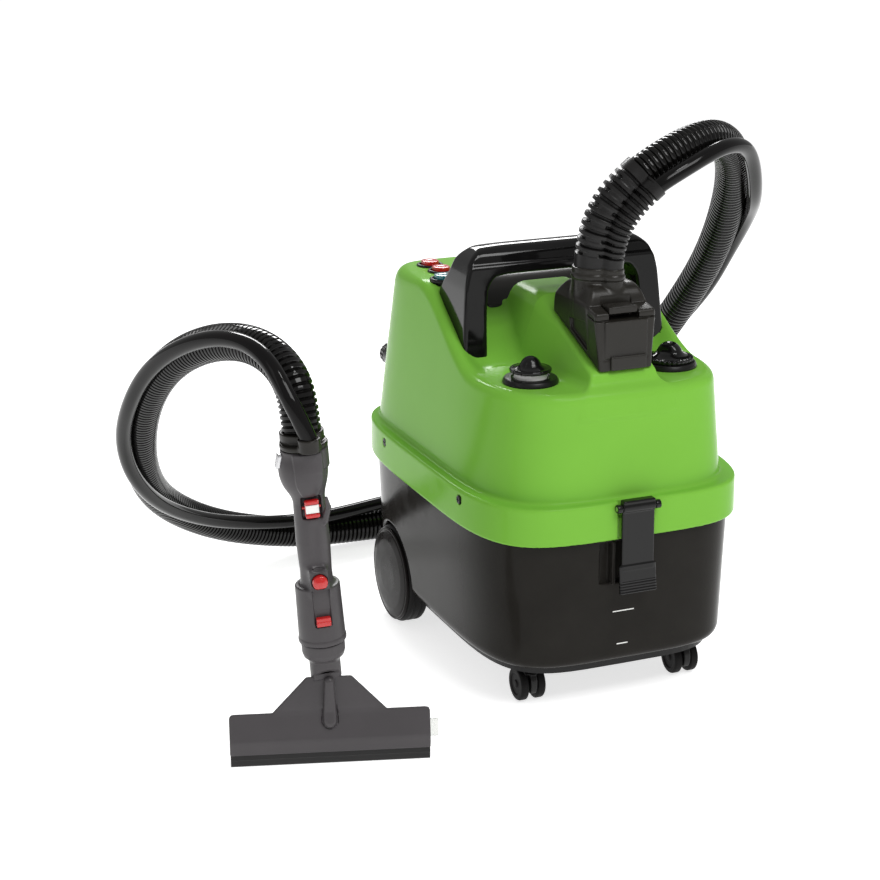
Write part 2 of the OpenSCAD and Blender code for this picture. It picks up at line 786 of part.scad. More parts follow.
tank_shell();
chassis_plate();
wheel_axles();
tyre_left();
tyre_right();
wheel_left();
wheel_right();
caster_fork_left();
caster_fork_right();
caster_wheels_left();
caster_wheels_right();
top_cover();
inner_deck();
tank_gasket();
rear_panel();
carry_handle();
skirt_screws();
latch_strap();
latch_pin();
switch_bezels();
power_switch();
vacuum_switch();
steam_switch();
steam_knob();
power_inlet();
water_filler();
water_cap();
detergent_filler();
detergent_seal();
detergent_cap();
water_reservoir();
detergent_reservoir();
intake_duct();
boiler();
heating_element();
safety_valve();
feed_pump();
solenoid_valve();
steam_pipe();
vacuum_motor();
fan_housing();
fan_impeller();
float_cage();
float_ball();
control_board();
hose_plug();
plug_button();
hose_boot();
vacuum_hose();
steam_hose();
hose_cuff();
gun_housing();
gun_trigger();
gun_release();
gun_lock_slide();
swivel_button();
nozzle_body();
nozzle_blade();
nozzle_bristles();
nozzle_lip();
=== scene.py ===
"""Looks of the steam cleaner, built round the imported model.

Lengths are in millimetres in the machine's own frame: its origin is on the floor under the middle of the
machine, and its front faces -Y. piece() turns them into metres in the shared frame.
"""
import json
import math

import bmesh
import bpy
import numpy as np
from mathutils import Matrix, Vector
from numpy import clip, hypot, interp, maximum, minimum


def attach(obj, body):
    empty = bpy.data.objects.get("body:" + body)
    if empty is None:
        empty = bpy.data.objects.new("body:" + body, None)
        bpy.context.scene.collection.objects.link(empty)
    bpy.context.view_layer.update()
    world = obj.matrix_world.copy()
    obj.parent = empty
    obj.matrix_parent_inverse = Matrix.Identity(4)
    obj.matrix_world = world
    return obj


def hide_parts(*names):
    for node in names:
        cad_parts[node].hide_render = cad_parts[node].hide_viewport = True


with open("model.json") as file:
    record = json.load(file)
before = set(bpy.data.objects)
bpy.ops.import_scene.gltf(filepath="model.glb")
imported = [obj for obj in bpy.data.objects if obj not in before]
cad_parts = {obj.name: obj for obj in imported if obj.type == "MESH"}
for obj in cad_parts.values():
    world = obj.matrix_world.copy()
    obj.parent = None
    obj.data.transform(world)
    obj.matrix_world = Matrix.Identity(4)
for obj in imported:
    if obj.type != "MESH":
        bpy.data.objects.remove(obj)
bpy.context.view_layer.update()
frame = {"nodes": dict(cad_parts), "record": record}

MM = 0.001


def at(x, y, z):
    return Matrix.Translation(Vector((x, y, z)) * MM)


def turn(degrees, axis):
    return Matrix.Rotation(math.radians(degrees), 4, axis)


# The frames that part.scad draws in
MACHINE = at(153, 18, 0)
GUN = MACHINE @ at(-362, -228, 60) @ turn(-4, "Y") @ turn(-10, "Z")
NOZZLE = MACHINE @ at(-362, -228, 0) @ turn(-17, "Z")


def spot(x, y, z, degrees=0, axis="X"):
    """Place in the machine's frame, turned about an axis."""
    return MACHINE @ at(x, y, z) @ turn(degrees, axis)


def add_object(name, data):
    made = bpy.data.objects.new(name, data)
    bpy.context.scene.collection.objects.link(made)
    return made


def fill(node, **values):
    """Sets a shader node's inputs. An underscore stands for a space in an input's name."""
    for name, value in values.items():
        node.inputs[name.replace("_", " ")].default_value = value


# Sizes shared by several pieces, as in part.scad, but for the handle's bar, which is 3 mm slimmer here.
# Pairs are places on the two axes across a turned part.
HALF_W = 170
HALF_L = 245
WALL = 4
TANK_BOTTOM = 53
TANK_TOP = 214
SKIRT_LOW = 208
SKIRT_TOP = 253
DECK_Z = 376
HUMP_Z = 454
AXLE_Y = 118
WHEEL_R = 62
CASTER_X = 100
CASTER_STEM = (0, -158)
CASTER_AXLE = (-172, 20)
CASTER_R = 20
PIN_R = 2.55
LATCH_PIN = (-250.5, 247)
SCREW_YS = (109, -130)
SCREW_Z = 240
CAP_X = 88
CAP_Y = -151
DUCT_Y = -150
NECK = (-9, -148)
STEAM_NECK = (3, -170)
KNOB = (-118, 322)
INLET = (70, 290)
ROUND_MARK = (92, -93)
BAR_TOP = 511
BAR_BOTTOM = 477
SWITCHES = {"power_switch": (-98, 128), "vacuum_switch": (-98, 92), "steam_switch": (-112, 50)}


# ---- camera

def add_camera():
    """Three-quarter view from the front left, a little above, with a long lens."""
    azimuth, elevation, roll = math.radians(-22.573), math.radians(16.612), math.radians(-0.275)
    back = Vector((math.sin(azimuth) * math.cos(elevation), -math.cos(azimuth) * math.cos(elevation),
                   math.sin(elevation)))
    target = MACHINE @ Vector((0, 0.2522, 0.2185))
    distance = 2.8177
    data = bpy.data.cameras.new("camera")
    data.sensor_width = 36
    data.lens = 86.5
    data.shift_x = -0.0289
    data.shift_y = -0.0307
    data.clip_end = 50
    camera = add_object("camera", data)
    camera.rotation_mode = "QUATERNION"
    camera.location = target + distance * back
    facing = (-back).to_track_quat("-Z", "Y")
    camera.rotation_quaternion = facing @ Matrix.Rotation(roll, 3, "Z").to_quaternion()
    bpy.context.scene.camera = camera


add_camera()


# ---- materials

def look(name, colour, rough, metal=0.0, coat=0.0, mottle=0.06, grain=0.0, grain_mm=0.4, wave=0.0,
         transmission=0.0, specular=0.5):
    """Moulded or turned surface: mottled colour, uneven gloss, a fine grain and a slow waviness."""
    made = bpy.data.materials.new(name)
    made.use_nodes = True
    made.diffuse_color = (*colour, 1)
    nodes, links = made.node_tree.nodes, made.node_tree.links
    shader = nodes["Principled BSDF"]
    fill(shader, Metallic=metal, Coat_Weight=coat, Coat_Roughness=0.08, Transmission_Weight=transmission,
         Specular_IOR_Level=specular)
    place = nodes.new("ShaderNodeTexCoord")

    def noise(scale, detail, seed):
        found = nodes.new("ShaderNodeTexNoise")
        found.noise_dimensions = "4D"
        fill(found, W=seed, Scale=scale, Detail=detail)
        links.new(place.outputs["Object"], found.inputs["Vector"])
        return found.outputs["Fac"]

    def ranged(source, low, high):
        found = nodes.new("ShaderNodeMapRange")
        fill(found, From_Min=0.3, From_Max=0.7, To_Min=low, To_Max=high)
        links.new(source, found.inputs["Value"])
        return found.outputs["Result"]

    tint = nodes.new("ShaderNodeMix")
    tint.data_type = "RGBA"
    fill(tint, A=(*[c * (1 - mottle) for c in colour], 1), B=(*[min(1, c * (1 + mottle)) for c in colour], 1))
    links.new(ranged(noise(18, 4, 1.5), 0, 1), tint.inputs["Factor"])
    links.new(tint.outputs["Result"], shader.inputs["Base Color"])
    spread = 0.06
    links.new(ranged(noise(55, 5, 3.5), max(0.02, rough - spread), rough + spread),
              shader.inputs["Roughness"])
    normal = None
    for strength, scale, detail, depth in ((wave, 9, 1, 0.0006), (grain, 1000 / grain_mm / 2, 2, 0.00008)):
        if strength:
            bump = nodes.new("ShaderNodeBump")
            fill(bump, Strength=strength, Distance=depth)
            links.new(noise(scale, detail, 7.5), bump.inputs["Height"])
            if normal:
                links.new(normal, bump.inputs["Normal"])
            normal = bump.outputs["Normal"]
    if normal:
        links.new(normal, shader.inputs["Normal"])
    return name, made


# Each look has the name of the record's material slot that it stands for
LOOKS = dict((
    look("green_shell", (0.178, 0.445, 0.05), 0.19, mottle=0.015, grain=0.05, grain_mm=1.2, wave=0.03,
         specular=0.06),
    look("black_tank", (0.018, 0.0165, 0.0145), 0.16, mottle=0.12, grain=0.05, grain_mm=1.0, wave=0.04,
         specular=0.055),
    look("handle_black", (0.005, 0.0048, 0.0048), 0.1, mottle=0.1, wave=0.08, specular=0.28),
    look("black_plastic", (0.008, 0.0075, 0.0075), 0.3, mottle=0.12, grain=0.2, grain_mm=0.8,
         specular=0.25),
    look("dark_grey", (0.016, 0.0145, 0.012), 0.32, mottle=0.08, grain=0.3, grain_mm=0.7, specular=0.28),
    look("hub_grey", (0.013, 0.0115, 0.011), 0.3, mottle=0.1, grain=0.15, grain_mm=0.8, specular=0.06),
    look("gun_grey", (0.054, 0.049, 0.052), 0.4, grain=0.45, grain_mm=0.7, specular=0.35),
    look("tyre_rubber", (0.010, 0.0095, 0.0095), 0.5, mottle=0.2, grain=0.4, grain_mm=0.9, specular=0.08),
    look("seal_rubber", (0.009, 0.0085, 0.0085), 0.36, mottle=0.15, grain=0.3, grain_mm=0.8, specular=0.28),
    look("pale_seal", (0.82, 0.82, 0.79), 0.35, mottle=0.03, grain=0.1),
    look("red_button", (0.50, 0.010, 0.010), 0.2, coat=0.4, mottle=0.05),
    look("teal_button", (0.012, 0.17, 0.19), 0.14, coat=0.6, mottle=0.05),
    look("hose_black", (0.0045, 0.0042, 0.004), 0.12, mottle=0.15, grain=0.1, specular=0.26),
    look("steam_tube", (0.0045, 0.0042, 0.0042), 0.1, mottle=0.15, grain=0.05, wave=0.04, specular=0.17),
    look("clear_lip", (0.86, 0.87, 0.84), 0.12, transmission=0.75, mottle=0.02),
    look("bristle", (0.02, 0.019, 0.019), 0.6, mottle=0.3, grain=0.4),
    look("steel", (0.60, 0.60, 0.61), 0.28, metal=1, mottle=0.04, grain=0.2),
    look("boiler_steel", (0.62, 0.6, 0.57), 0.34, metal=1, grain=0.3),
    look("brass_part", (0.70, 0.50, 0.20), 0.3, metal=1, mottle=0.08, grain=0.2),
    look("copper_pipe", (0.80, 0.42, 0.28), 0.26, metal=1, mottle=0.1, grain=0.1),
    look("aluminium_part", (0.78, 0.78, 0.79), 0.34, metal=1, mottle=0.05, grain=0.3),
    look("natural_tank", (0.78, 0.80, 0.80), 0.4, transmission=0.3, mottle=0.03),
    look("float_orange", (0.75, 0.28, 0.06), 0.4, mottle=0.05, grain=0.2),
    look("board_green", (0.02, 0.17, 0.06), 0.4, mottle=0.1, grain=0.2),
))


def dress_cad_nodes():
    """Every CAD node starts with the finish of its slot. The replaced ones are hidden."""
    for part in frame["record"]["subparts"]:
        mesh = frame["nodes"][part["node"]].data
        mesh.materials.clear()
        mesh.materials.append(LOOKS[part["material_slot"]])


dress_cad_nodes()


# ---- making pieces

def piece(name, points, faces, slot, body, nodes=(), place=MACHINE, normals=None):
    """Mesh piece from points in millimetres in the frame place. It rides on body and stands for nodes."""
    matrix = np.array(place)
    world = np.asarray(points, float) * MM @ matrix[:3, :3].T + matrix[:3, 3]
    mesh = bpy.data.meshes.new(name)
    mesh.from_pydata(world.tolist(), [], faces)
    mesh.polygons.foreach_set("use_smooth", np.ones(len(mesh.polygons), bool))
    if normals is not None:
        mesh.normals_split_custom_set_from_vertices((normals @ matrix[:3, :3].T).tolist())
    mesh.materials.append(LOOKS[slot])
    made = add_object(name, mesh)
    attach(made, body)
    if nodes:
        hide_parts(*nodes)
    return made


def nets(field, low, high, step):
    """Surface where field is zero, as points, quads and normals. field is negative inside."""
    low, high = np.array(low, float) - 2 * step, np.array(high, float) + 2 * step
    counts = np.ceil((high - low) / step).astype(int) + 1
    axes = [low[i] + step * np.arange(counts[i]) for i in range(3)]
    value = field(np.meshgrid(*axes, indexing="ij"))
    inside = value < 0
    corners = sum(inside[i:counts[0] - 1 + i, j:counts[1] - 1 + j, k:counts[2] - 1 + k].astype(np.int8)
                  for i in (0, 1) for j in (0, 1) for k in (0, 1))
    active = (corners > 0) & (corners < 8)
    number = np.full(active.shape, -1)
    number[active] = np.arange(active.sum())
    cells = np.argwhere(active)
    total, found = np.zeros((len(cells), 3)), np.zeros(len(cells))
    unit = np.eye(3, dtype=int)
    for axis in range(3):
        for i in (0, 1):
            for j in (0, 1):
                start = cells + i * unit[(axis + 1) % 3] + j * unit[(axis + 2) % 3]
                a, b = value[tuple(start.T)], value[tuple((start + unit[axis]).T)]
                crossed = (a < 0) != (b < 0)
                share = np.where(crossed, a / np.where(crossed, a - b, 1), 0)
                total += np.where(crossed[:, None], start + share[:, None] * unit[axis], 0)
                found += crossed
    points = low + step * total / found[:, None]
    quads = []
    for axis in range(3):
        u, v = (axis + 1) % 3, (axis + 2) % 3
        first = np.take(inside, range(counts[axis] - 1), axis)
        second = np.take(inside, range(1, counts[axis]), axis)
        edges = np.argwhere(first != second)
        leaving = first[tuple(edges.T)]
        ring = [number[tuple((edges - i * unit[u] - j * unit[v]).T)]
                for i, j in ((1, 1), (0, 1), (0, 0), (1, 0))]
        quad = np.stack(ring, 1)
        quad[~leaving] = quad[~leaving][:, ::-1]
        quads.append(quad)
    # Steps onto the surface along the field's slope, which comes from small differences
    nudge, least_slope = 0.2, 0.3
    for _ in range(3):
        here = field(points.T)
        slope = np.stack([(field((points + nudge * way).T) - field((points - nudge * way).T)) / (2 * nudge)
                          for way in unit], 1)
        size = maximum(np.linalg.norm(slope, axis=1), least_slope)
        move = -here / size
        points += clip(move, -step / 2, step / 2)[:, None] * slope / size[:, None]
        normals = slope / size[:, None]
    return points, np.concatenate(quads), normals


def moulded(name, field, low, high, step, slot, body, nodes=(), place=MACHINE):
    """Piece whose surface is where field, a function of three arrays of millimetres, is zero."""
    points, quads, normals = nets(field, low, high, step)
    return piece(name, points, quads.tolist(), slot, body, nodes, place, normals)


def join(a, b, k):
    """Two solids as one, blended over k. Or the lower of two numbers."""
    h = clip(0.5 + 0.5 * (b - a) / k, 0, 1)
    return b + (a - b) * h - k * h * (1 - h)


def meet(a, b, k):
    """What two solids share, blended over k. Or the higher of two numbers."""
    return -join(-a, -b, k)


def cut(body, hole, k):
    """Body without the hole, blended over k."""
    return meet(body, -hole, k)


def smooth(t):
    """Rise from 0 to 1 with level ends."""
    t = clip(t, 0, 1)
    return t * t * (3 - 2 * t)


def block(p, centre, size, r=1.5):
    """Box with rounded edges."""
    q = [abs(p[i] - centre[i]) - size[i] / 2 + r for i in range(3)]
    outside = np.sqrt(sum(maximum(c, 0) ** 2 for c in q))
    return outside + minimum(maximum(maximum(q[0], q[1]), q[2]), 0) - r


def slab(across, along, half, r):
    """Solid between two faces, from an outline's distance and the distance along its axis."""
    a, b = across + r, abs(along) - half + r
    return hypot(maximum(a, 0), maximum(b, 0)) + minimum(maximum(a, b), 0) - r


def rod(p, centre, axis, r, low, high, edge=1.0):
    """Cylinder along axis 0, 1 or 2. centre is its place on the other two axes, in order."""
    u, v = [i for i in range(3) if i != axis]
    radial = hypot(p[u] - centre[0], p[v] - centre[1]) - r
    return slab(radial, p[axis] - (low + high) / 2, (high - low) / 2, edge)


def post(p, r, low, high, edge=1.0):
    """Cylinder about the frame's own Z."""
    return rod(p, (0, 0), 2, r, low, high, edge)


def capsule(p, a, b, r_a, r_b):
    """Round-ended bar from a to b, with a radius at each end."""
    line = np.subtract(b, a)
    share = clip(sum((p[i] - a[i]) * line[i] for i in range(3)) / (line @ line), 0, 1)
    away = np.sqrt(sum((p[i] - a[i] - share * line[i]) ** 2 for i in range(3)))
    return away - (r_a + (r_b - r_a) * share)


def convex(u, v, corners, k):
    """Distance to a convex outline, given anticlockwise, with its corners rounded by k."""
    found = None
    for (ax, ay), (bx, by) in zip(corners, corners[1:] + corners[:1]):
        length = math.hypot(bx - ax, by - ay)
        side = ((u - ax) * (by - ay) - (v - ay) * (bx - ax)) / length
        found = side if found is None else meet(found, side, k)
    return found


def egg(x, y, a, b, power=4.5):
    """Distance to the superellipse that all the machine's outlines follow."""
    rx, ry = abs(x) / a, abs(y) / b
    r = (rx ** power + ry ** power) ** (1 / power) + 1e-9
    return (r - 1) / hypot((rx / r) ** (power - 1) / a, (ry / r) ** (power - 1) / b)


def rounded(corners, r, steps=5):
    """Polyline with each inner corner rounded by about r."""
    corners = [np.array(c, float) for c in corners]
    found = [corners[0]]
    for before, corner, after in zip(corners, corners[1:], corners[2:]):
        into, out = before - corner, after - corner
        reach = min(r, np.linalg.norm(into) / 2.05, np.linalg.norm(out) / 2.05)
        start = corner + into / np.linalg.norm(into) * reach
        end = corner + out / np.linalg.norm(out) * reach
        for i in range(steps + 1):
            t = i / steps
            found.append((1 - t) ** 2 * start + 2 * t * (1 - t) * corner + t * t * end)
    found.append(corners[-1])
    return found


def lathe(name, profile, slot, body, nodes=(), place=MACHINE, sides=64, knurl=None):
    """Piece turned about its own Z from (radius, height) points. A radius of 0 closes it to a point."""
    angles = 2 * math.pi * np.arange(sides) / sides
    points, rows = [], []
    for r, z in profile:
        if r < 1e-6:
            rows.append([len(points)] * sides)
            points.append((0, 0, z))
            continue
        rows.append(list(range(len(points), len(points) + sides)))
        for a in angles:
            wide = r + (knurl(r, z, a) if knurl else 0)
            points.append((wide * math.cos(a), wide * math.sin(a), z))
    faces = []
    closed = profile[0][0] > 1e-6 and profile[-1][0] > 1e-6
    pairs = list(zip(rows, rows[1:])) + ([(rows[-1], rows[0])] if closed else [])
    for low, high in pairs:
        for i in range(sides):
            j = (i + 1) % sides
            ring = [low[i], low[j], high[j], high[i]]
            face = [n for k, n in enumerate(ring) if n != ring[k - 1]]
            if len(face) > 2:
                faces.append(face)
    made = piece(name, points, faces, slot, body, nodes, place)
    tidy_normals(made)
    return made


def tidy_normals(made):
    """Turns every face outwards and keeps edges sharper than 40 degrees crisp."""
    mesh = bmesh.new()
    mesh.from_mesh(made.data)
    bmesh.ops.recalc_face_normals(mesh, faces=mesh.faces)
    mesh.to_mesh(made.data)
    mesh.free()
    made.data.set_sharp_from_angle(angle=math.radians(40))


def plate(name, centre, size, r, slot, body, nodes=(), place=MACHINE):
    """Small block with rounded edges."""
    mesh = bmesh.new()
    bmesh.ops.create_cube(mesh, size=1)
    bmesh.ops.scale(mesh, vec=size, verts=mesh.verts)
    bmesh.ops.bevel(mesh, geom=mesh.edges[:], offset=r, segments=3, profile=0.5, affect="EDGES")
    points = [tuple(v.co + Vector(centre)) for v in mesh.verts]
    faces = [[v.index for v in f.verts] for f in mesh.faces]
    mesh.free()
    made = piece(name, points, faces, slot, body, nodes, place)
    tidy_normals(made)
    return made


# ---- hoses

# The routes of part.scad, from the plug to the gun
VAC_ROUTE = [
    (-8, -148, 512), (-4, -152, 548), (12, -158, 580), (42, -163, 607), (82, -162, 627), (122, -150, 637),
    (160, -126, 632), (197, -90, 608), (226, -44, 566), (246, 4, 518), (258, 50, 468), (264, 96, 420),
    (262, 142, 370), (254, 190, 314), (238, 240, 254), (212, 292, 190), (176, 340, 126), (130, 378, 70),
    (76, 396, 34), (14, 402, 24), (-60, 402, 23), (-130, 400, 25), (-190, 396, 30), (-254, 382, 46),
    (-318, 356, 72), (-376, 318, 110), (-422, 270, 156), (-450, 216, 210), (-466, 156, 270), (-472, 94, 330),
    (-466, 30, 384), (-448, -30, 422), (-426, -88, 444), (-406, -140, 450), (-392, -182, 440),
    (-384, -210, 416), (-382, -219, 374),
]
STEAM_ROUTE = [
    (4, -170, 512), (8, -176, 544), (24, -186, 574), (46, -193, 596), (80, -194, 613), (120, -186, 629),
    (156, -168, 631), (190, -142, 618), (222, -102, 579), (247, -60, 543), (272, -10, 518), (289, 44, 480),
    (295, 90, 438), (296, 136, 386), (284, 202, 322), (268, 254, 258), (240, 308, 198), (198, 360, 142),
    (144, 400, 92), (82, 416, 62), (14, 412, 56), (-60, 400, 56), (-150, 380, 53), (-222, 363, 60),
    (-288, 336, 77), (-349, 298, 102), (-409, 244, 142), (-450, 196, 184), (-480, 155, 232), (-497, 110, 288),
    (-500, 56, 340), (-493, 6, 388), (-477, -46, 425), (-457, -98, 450), (-438, -140, 461), (-422, -180, 461),
    (-411, -213, 447), (-404, -235, 424), (-395, -247, 400), (-385, -251, 374),
]
BOOT_POINTS = 3
SMOOTHING_PASSES = 900
VAC_R = 22
STEAM_R = 10
RIB_PITCH = 6.2


def curve_through(route, spacing):
    """Evenly spaced points on a smooth curve through a route."""
    points = np.array(route, float)
    points = np.vstack([2 * points[0] - points[1], points, 2 * points[-1] - points[-2]])
    fine = []
    for i in range(1, len(points) - 2):
        a, b, c, d = points[i - 1:i + 3]
        for t in np.arange(0, 1, 0.02):
            fine.append(0.5 * (2 * b + (c - a) * t + (2 * a - 5 * b + 4 * c - d) * t ** 2
                               + (3 * b - a - 3 * c + d) * t ** 3))
    fine.append(points[-2])
    fine = np.array(fine)
    for _ in range(SMOOTHING_PASSES):
        fine[1:-1] += (fine[:-2] + fine[2:] - 2 * fine[1:-1]) / 4
    along = np.concatenate([[0], np.cumsum(np.linalg.norm(np.diff(fine, axis=0), axis=1))])
    wanted = np.linspace(0, along[-1], max(2, round(along[-1] / spacing) + 1))
    return np.stack([interp(wanted, along, fine[:, i]) for i in range(3)], 1), wanted


def frames_along(line):
    """Two directions across a line at each of its points, carried along without twist."""
    ahead = np.gradient(line, axis=0)
    ahead /= np.linalg.norm(ahead, axis=1)[:, None]
    side = np.cross(ahead[0], (0, 1, 0))
    sides = []
    for t in ahead:
        side = side - (side @ t) * t
        side /= np.linalg.norm(side)
        sides.append(side)
    sides = np.array(sides)
    return sides, np.cross(ahead, sides)


def sweep(name, line, radius, sides, slot, body, nodes=(), place=MACHINE, turned=None):
    """Closed tube along line. radius gives each ring's radii from its number and the angles round it."""
    across, up = turned or frames_along(line)
    angles = 2 * math.pi * np.arange(sides) / sides
    rings = [line[i] + radius(i, angles)[:, None] * (np.cos(angles)[:, None] * across[i]
                                                     + np.sin(angles)[:, None] * up[i])
             for i in range(len(line))]
    points = np.concatenate(rings + [line[:1], line[-1:]])
    count = len(line)
    n = np.arange(count - 1)[:, None] * sides
    k = np.arange(sides)[None, :]
    j = (k + 1) % sides
    quads = np.stack([n + k, n + j, n + sides + j, n + sides + k], 2).reshape(-1, 4).tolist()
    start, end, last = count * sides, count * sides + 1, (count - 1) * sides
    caps = [[start, (i + 1) % sides, i] for i in range(sides)]
    caps += [[end, last + i, last + (i + 1) % sides] for i in range(sides)]
    made = piece(name, points, quads + caps, slot, body, nodes, place)
    tidy_normals(made)
    return made


def add_hoses():
    """Ribbed suction hose and smooth steam hose, with the ribbed boot over their first stretch."""
    line, along = curve_through(VAC_ROUTE, RIB_PITCH / 6)
    # Rounded ribs with narrow grooves between them. Both hoses are slimmer inside the boot.
    groove = maximum(0, np.cos(2 * math.pi * along / RIB_PITCH)) ** 2
    ribs = np.where(along < 100, 16.5, VAC_R - 1 - 2.6 * groove)
    vac = sweep("suction_hose", line, lambda i, a: np.full(len(a), ribs[i]), 32, "hose_black", "hose_set",
                ["vacuum_hose"])
    steam_line, steam_along = curve_through(STEAM_ROUTE, 8)
    width = np.where(steam_along < 92, 7.4, STEAM_R - 0.8)
    steam = sweep("steam_hose_tube", steam_line, lambda i, a: np.full(len(a), width[i]), 24, "steam_tube",
                  "hose_set", ["steam_hose"])
    boot = add_boot()
    cuff = add_cuff()


def add_boot():
    """Two-lobed sleeve: thin ribs, with a short web across every other gap."""
    line, along = curve_through([NECK + (494,)] + VAC_ROUTE[:BOOT_POINTS + 1], 0.7)
    thin, _ = curve_through([STEAM_NECK + (494,)] + STEAM_ROUTE[:BOOT_POINTS + 1], 0.7)
    thin = thin[np.linspace(0, len(thin) - 1, len(line)).round().astype(int)]
    across, up = frames_along(line)
    plain, pitch, rib, edge = 19, 8.3, 3.6, 1.2
    total = along[-1]
    # The webs face forwards and to the left
    web_way = np.array([-0.66, -0.75, 0])

    def radius(i, angles):
        offset = thin[i] - line[i]
        cx, cy = offset @ across[i], offset @ up[i]
        toward = cx * np.cos(angles) + cy * np.sin(angles)
        s = along[i] - plain
        gap, place = divmod(s, pitch)
        solid = s < 0 or along[i] > total - 10
        rib_here = 1 - smooth((place - rib) / edge) + smooth((place - pitch + edge) / edge)
        raised = 1.0 if solid else float(rib_here)
        lean = math.atan2(web_way @ up[i], web_way @ across[i])
        web = smooth((np.cos(angles - lean) - 0.86) / 0.05) * (0 if solid or gap % 2 else 0.9)
        lift = maximum(raised, web)
        big = 18.2 + 4.8 * lift
        small = 8.4 + 3.8 * lift
        inner = small ** 2 - (cx ** 2 + cy ** 2 - toward ** 2)
        lobe = np.where(inner > 0, toward + np.sqrt(maximum(inner, 0)), 0)
        return meet(big, lobe, 4.0)

    return sweep("hose_boot_sleeve", line, radius, 84, "seal_rubber", "hose_set", ["hose_boot"],
                 turned=(across, up))


def add_cuff():
    """Swivel foot on top of the gun, with a sleeve for each hose."""
    def field(p):
        x, y, z = p
        neck = post(p, 17.9, 282, 304, 0.6)
        disc = post(p, 25.6, 300.4, 306, 1.5)
        vac = rod(p, (0, 9), 2, 23.6, 301, 315.5, 1.2)
        steam = rod(p, (3, -23), 2, 12, 301, 315.5, 1.2)
        body = join(join(disc, vac, 2), steam, 3)
        return maximum(join(body, neck, 1), -rod(p, (0, 3.5), 2, 11, 270, 306, 0.2))
    return moulded("hose_cuff_swivel", field, (-32, -40, 280), (32, 36, 318), 1.3, "dark_grey", "hose_set",
                   ["hose_cuff"], GUN)


add_hoses()


# ---- tank, wheels and casters

def tank_inset(z):
    """How far the drafted tank wall stands inside the skirt's outline."""
    return 13 - 6 * (z - TANK_BOTTOM) / (TANK_TOP - TANK_BOTTOM)


def pocket(p, grow):
    """Space round a rear wheel, wider by grow."""
    return maximum(hypot(p[1] - AXLE_Y, p[2] - WHEEL_R) - WHEEL_R - 4 - grow, 126 - grow - abs(p[0]))


def tank_field(p):
    x, y, z = p
    side = egg(x, y, HALF_W - tank_inset(z), HALF_L - tank_inset(z))
    outer = meet(meet(side, TANK_BOTTOM - z, 16), z - TANK_TOP, 2)
    # Pocket under the latch, with a rib in it
    outer = cut(outer, block(p, (-10, -243, 179), (60, 28, 50), 2), 1.5)
    outer = join(outer, block(p, (-24, -234, 179), (4, 12, 52), 1), 1)
    hollow = maximum(meet(side + WALL, TANK_BOTTOM + WALL - z, 12), -pocket(p, WALL))
    hollow = maximum(hollow, -block(p, (-10, -231, 179), (72, 22, 62), 2))
    return cut(maximum(outer, -hollow), pocket(p, 0), 4)


def add_tank():
    moulded("tank", tank_field, (-165, -244, TANK_BOTTOM), (165, 240, TANK_TOP), 2.3, "black_tank", "tank",
            ["tank_shell"])
    # Upper and lower level marks, on the drafted front wall
    for name, z, half in (("level_line_upper", 118, 13.5), ("level_line_lower", 77, 7)):
        y = tank_inset(z) - HALF_L
        plate(name, (-8.5, y, z), (2 * half, 0.7, 1.3), 0.15, "pale_seal", "tank")


def add_wheel(side):
    """Rubber tyre with two grooves round it, and a smooth domed hub disc inside a thin rim."""
    name = "left" if side < 0 else "right"
    place = spot(0, AXLE_Y, WHEEL_R, 90 * side, "Y")
    r, groove, seat, bore = WHEEL_R, WHEEL_R - 1.2, WHEEL_R - 9, 6.06
    tyre = rounded([(seat, 131), (r - 2.5, 131), (r, 134), (r, 138), (groove, 139), (groove, 140.5),
                    (r, 141.5), (r, 147), (groove, 148), (groove, 149.5), (r, 150.5), (r, 154),
                    (r - 2.5, 157), (seat, 157)], 1.6)
    body = side_body(side, "wheel")
    lathe("tyre_" + name + "_rubber", tyre, "tyre_rubber", body, ["tyre_" + name], place, 96)
    hub = rounded([(0, 159), (bore, 159), (bore, 130), (14, 130), (14, 140), (46, 140), (seat, 133),
                   (seat, 156), (r - 3, 157.2), (r - 3, 160.4), (r - 5, 161.2), (r - 6.4, 160.2),
                   (r - 8, 161.4), (44, 163.4), (24, 164.7), (0, 165)], 1.2)
    lathe("hub_" + name, hub, "hub_grey", body, ["wheel_" + name], place, 96)


def side_body(side, what):
    return ("left_" if side < 0 else "right_") + what


